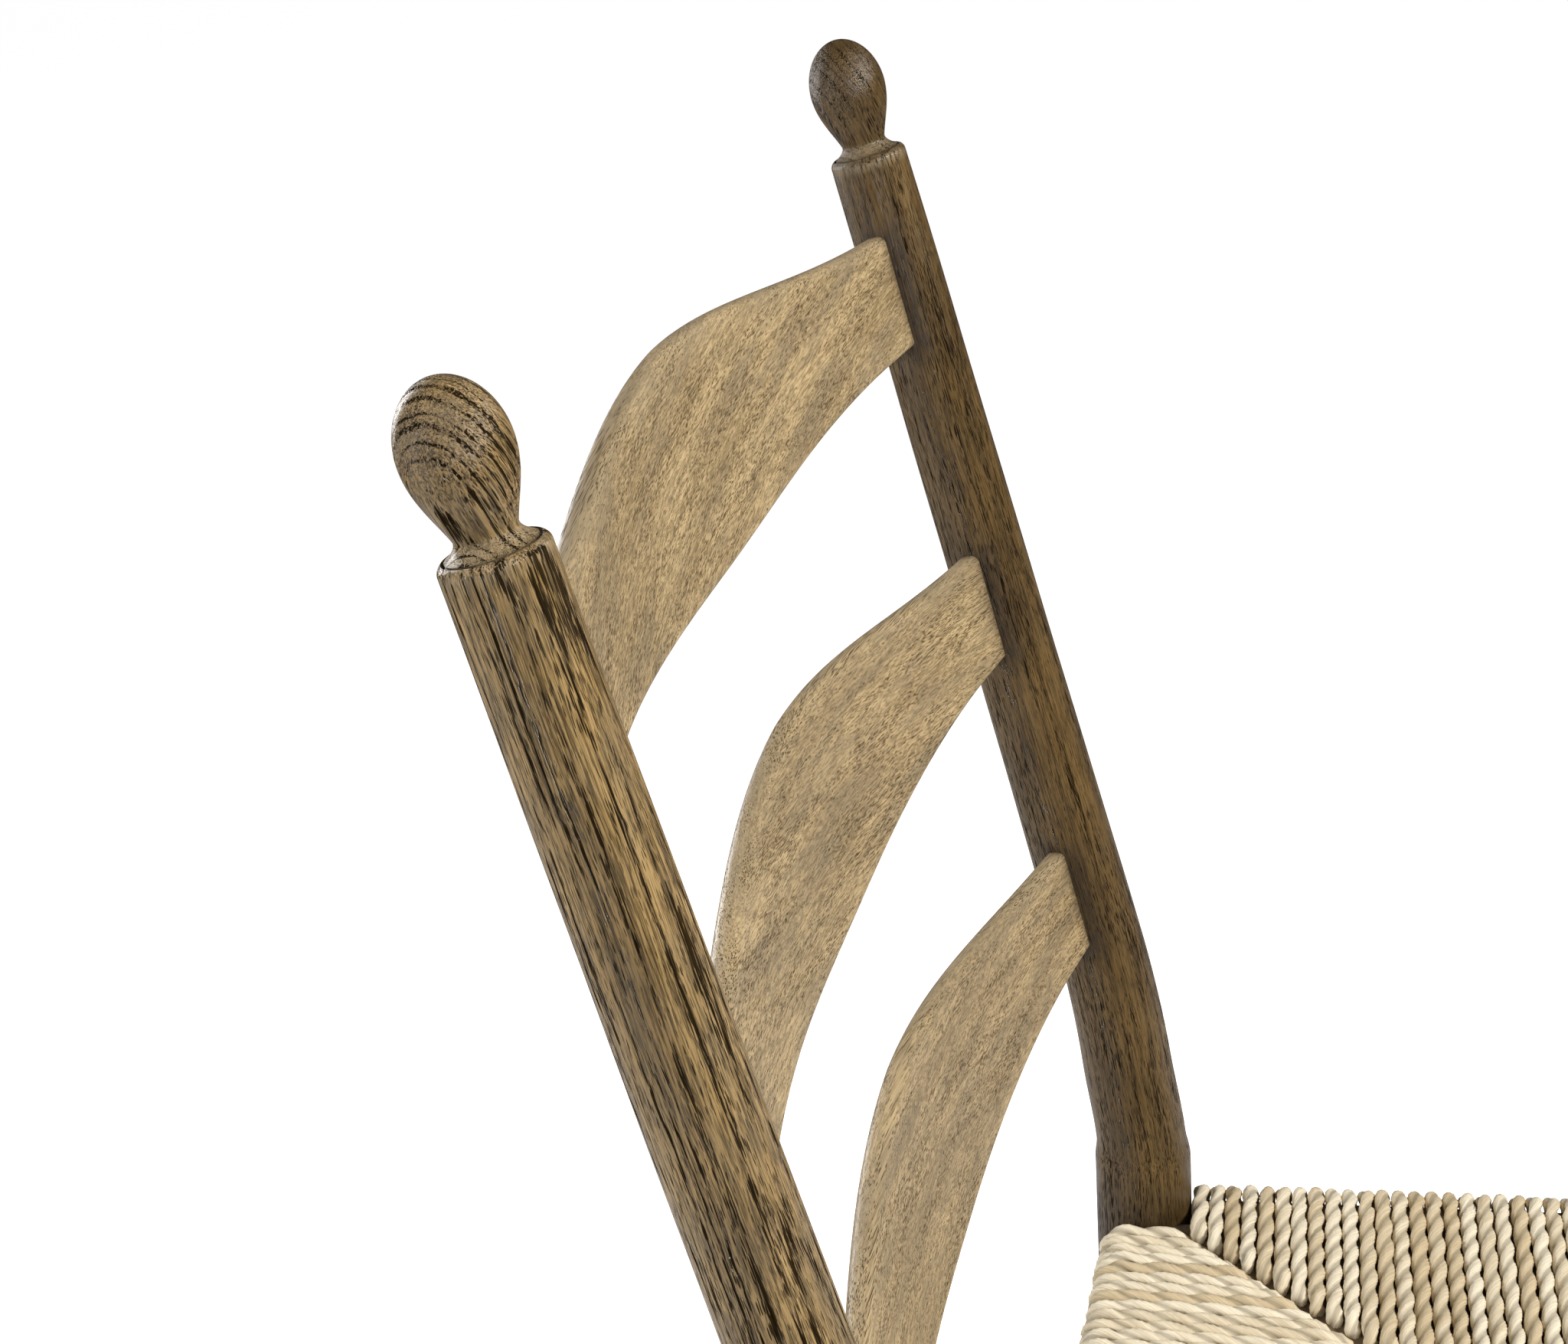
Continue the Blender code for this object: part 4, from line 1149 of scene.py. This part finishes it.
def cord_curve(name, start, end, inner_of, lift, over, places, seed):
    """A curve with one spline a turn, and the lay and leaf of each vertex that it will have."""
    rng = random.Random(seed)
    start, end = Vector((*start, 0)), Vector((*end, 0))
    along = (end - start).normalized()
    outward = Vector((0, 0, 1)).cross(along)
    if outward.dot((start + end) / 2 - Vector((0, MIDDLE_Y, 0))) < 0:
        outward.negate()
    data = bpy.data.curves.new(name, "CURVE")
    data.dimensions = "3D"
    data.twist_mode = "MINIMUM"
    data.bevel_mode = "OBJECT"
    data.bevel_object = section_object
    lays, leaves = [], []
    for place in places:
        line = turn_line(inner_of(place), lift, over, rng)
        wobble, phase = rng.uniform(-0.25, 0.25) * MM, rng.uniform(0, math.tau)
        pitch = rng.uniform(30, 38) * MM
        leaf, size = rng.random(), rng.uniform(0.97, 1.06)
        ring = data.splines.new("POLY")
        ring.points.add(len(line) - 1)
        length = 0.0
        for i, (point, (o, height)) in enumerate(zip(ring.points, line)):
            if i:
                length += math.dist(line[i - 1], (o, height))
            spot = start + along * (place + wobble * math.sin(length * 40 + phase)) + outward * o
            point.co = (spot.x, spot.y, height, 1)
            point.tilt = phase + math.tau * length / pitch
            point.radius = size * (1 + 0.03 * math.sin(length * 90 + phase))
            lays += [(x, y, length) for x, y in section_points]
            leaves += [leaf] * len(section_points)
    return data, np.array(lays), np.array(leaves)


def wind(name, node, start, end, inner_of, lift, over, places, seed):
    """All the turns over one rail. places are distances along the rail from start, in metres."""
    data, lays, leaves = cord_curve(name, start, end, inner_of, lift, over, places, seed)
    curve = bpy.data.objects.new(name + "_curve", data)
    bpy.context.scene.collection.objects.link(curve)
    bpy.context.view_layer.update()
    mesh = bpy.data.meshes.new_from_object(curve.evaluated_get(bpy.context.evaluated_depsgraph_get()))
    bpy.data.objects.remove(curve)
    mesh.name = name
    around = np.hypot(lays[:, 0], lays[:, 1])
    # 1 between the plies, where the painted shade goes
    groove = 1 - step(around, around.min(), around.min() + 0.6 * (around.max() - around.min()))
    give_attributes(mesh, lay=lays, leaf=leaves, groove=groove)
    ends = bmesh.new()
    ends.from_mesh(mesh)
    bmesh.ops.holes_fill(ends, edges=[e for e in ends.edges if e.is_boundary])
    bmesh.ops.recalc_face_normals(ends, faces=ends.faces)
    ends.to_mesh(mesh)
    ends.free()
    mesh.shade_smooth()
    print(len(places), "turns of", len(lays), "points")
    as_piece(name, mesh, cord_rush, "rush", node)


# %% [markdown]
# ## The four wedges
# The front and rear wedges have turns from both corners, and straight ones between them where the
# seat is wider than it is deep. The side wedges have only the corners' turns, and lie a little
# higher, over the ends of the others. Where the turns start and how far in they reach could be
# typed in one by one, but worked out from the corners they follow the seat's own taper.

# %% Wind the four wedges
shares = [first_share + share_step * i for i in range(TURNS)]
side_length = math.dist(corners["rear"], corners["front"])


def across(corner_x):
    """Turns over the front or rear rail: both corners' turns, and the straight ones between."""
    last = shares[-1] * (corner_x - APEX_X)
    outer = [share * (corner_x - APEX_X) for share in shares]
    outer = [max(value, FIRST_TURN + (last - FIRST_TURN) * i / (TURNS - 1)) for i, value in enumerate(outer)]
    gap = 2 * (corner_x - outer[-1])
    count = max(1, round(gap / CORD) - 1)
    middle = [outer[-1] + gap * (i + 1) / (count + 1) for i in range(count)]
    return outer + middle + [2 * corner_x - value for value in reversed(outer)]


def reach_across(corner_x):
    def inner(place):
        share = min(place, 2 * corner_x - place) / (corner_x - APEX_X)
        return HALF_DEPTH * min(share, 1)

    return inner


def reach_side(place):
    share = min(place, side_length - place) / (side_length / 2)
    return share * ((POST_X + LEG_X) / 2 - APEX_X)


side_places = [share * side_length / 2 for share in shares]
side_places += [side_length - place for place in reversed(side_places)]
for name, node, (x, y), seed in (
    ("rear_rush", "rush_rear", corners["rear"], 3),
    ("front_rush", "rush_front", corners["front"], 4),
):
    wind(name, node, (-x, y), (x, y), reach_across(x), 0, False, across(x), seed)
for name, node, side, seed in (("left_rush", "rush_left", 1, 5), ("right_rush", "rush_right", -1, 6)):
    ends = ((side * POST_X, POST_Y), (side * LEG_X, LEG_Y))
    wind(name, node, *ends, reach_side, 2 * MM, True, side_places, seed)
bpy.data.objects.remove(section_object)

# %% [markdown]
# ## Packing
# While winding, the seat maker stuffs waste rush between the upper and lower cords, which makes
# the seat firm and lifts the cords in the middle. Only specks of it show between the cords. Loose
# leaves could be modelled one by one, but a lumpy pad fills the gaps just as well; its rush finish
# is made dark, a painted shade between the cords. It is the hull of a few corners, cut fine and
# ruffled with noise.

# %% Pack the seat
PAD_INSET = 14 * MM
PAD_EDGE = (RAIL_TOP + 1.5 * MM, RAIL_TOP - 29 * MM)
PAD_MIDDLE = (RAIL_TOP + 7 * MM, RAIL_TOP - 34 * MM)


def pack_seat():
    made = bmesh.new()
    for x, y in ((POST_X - PAD_INSET, POST_Y - PAD_INSET), (LEG_X - PAD_INSET, LEG_Y + PAD_INSET)):
        for side in (-1, 1):
            for height in PAD_EDGE:
                made.verts.new((side * x, y, height))
    for side in (-1, 1):
        for height in PAD_MIDDLE:
            made.verts.new((side * APEX_X, MIDDLE_Y, height))
    bmesh.ops.convex_hull(made, input=made.verts)
    bmesh.ops.subdivide_edges(made, edges=made.edges, cuts=15, use_grid_fill=True)
    bmesh.ops.recalc_face_normals(made, faces=made.faces)
    mesh = bpy.data.meshes.new("seat_packing")
    made.to_mesh(mesh)
    made.free()
    places = np.array([v.co for v in mesh.vertices])
    lumps = np.array([noise.noise(Vector(p) * 90) for p in places])
    places[:, 2] += 0.9 * MM * lumps
    mesh.vertices.foreach_set("co", places.astype(np.float32).ravel())
    give_attributes(mesh, lay=places * 0.4, leaf=0.5 + lumps)
    mesh.shade_smooth()
    stuffing = ("stuffing_rear", "stuffing_front", "stuffing_left", "stuffing_right")
    as_piece("seat_packing", mesh, packed_rush, "stuffing", *stuffing)


pack_seat()

# %% [markdown]
# ## Rails
# The four rails are wound over, so only their ends could ever be glimpsed. They could be modelled
# again, but their CAD parts are the right shape already. They stay, and only take the bare oak
# finish.

# %% Finish the rails
for key in ("rear_rail", "front_rail", "left_rail", "right_rail"):
    for material_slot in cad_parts[key].material_slots:
        material_slot.material = rail_oak
print("rails finished with", rail_oak.name)
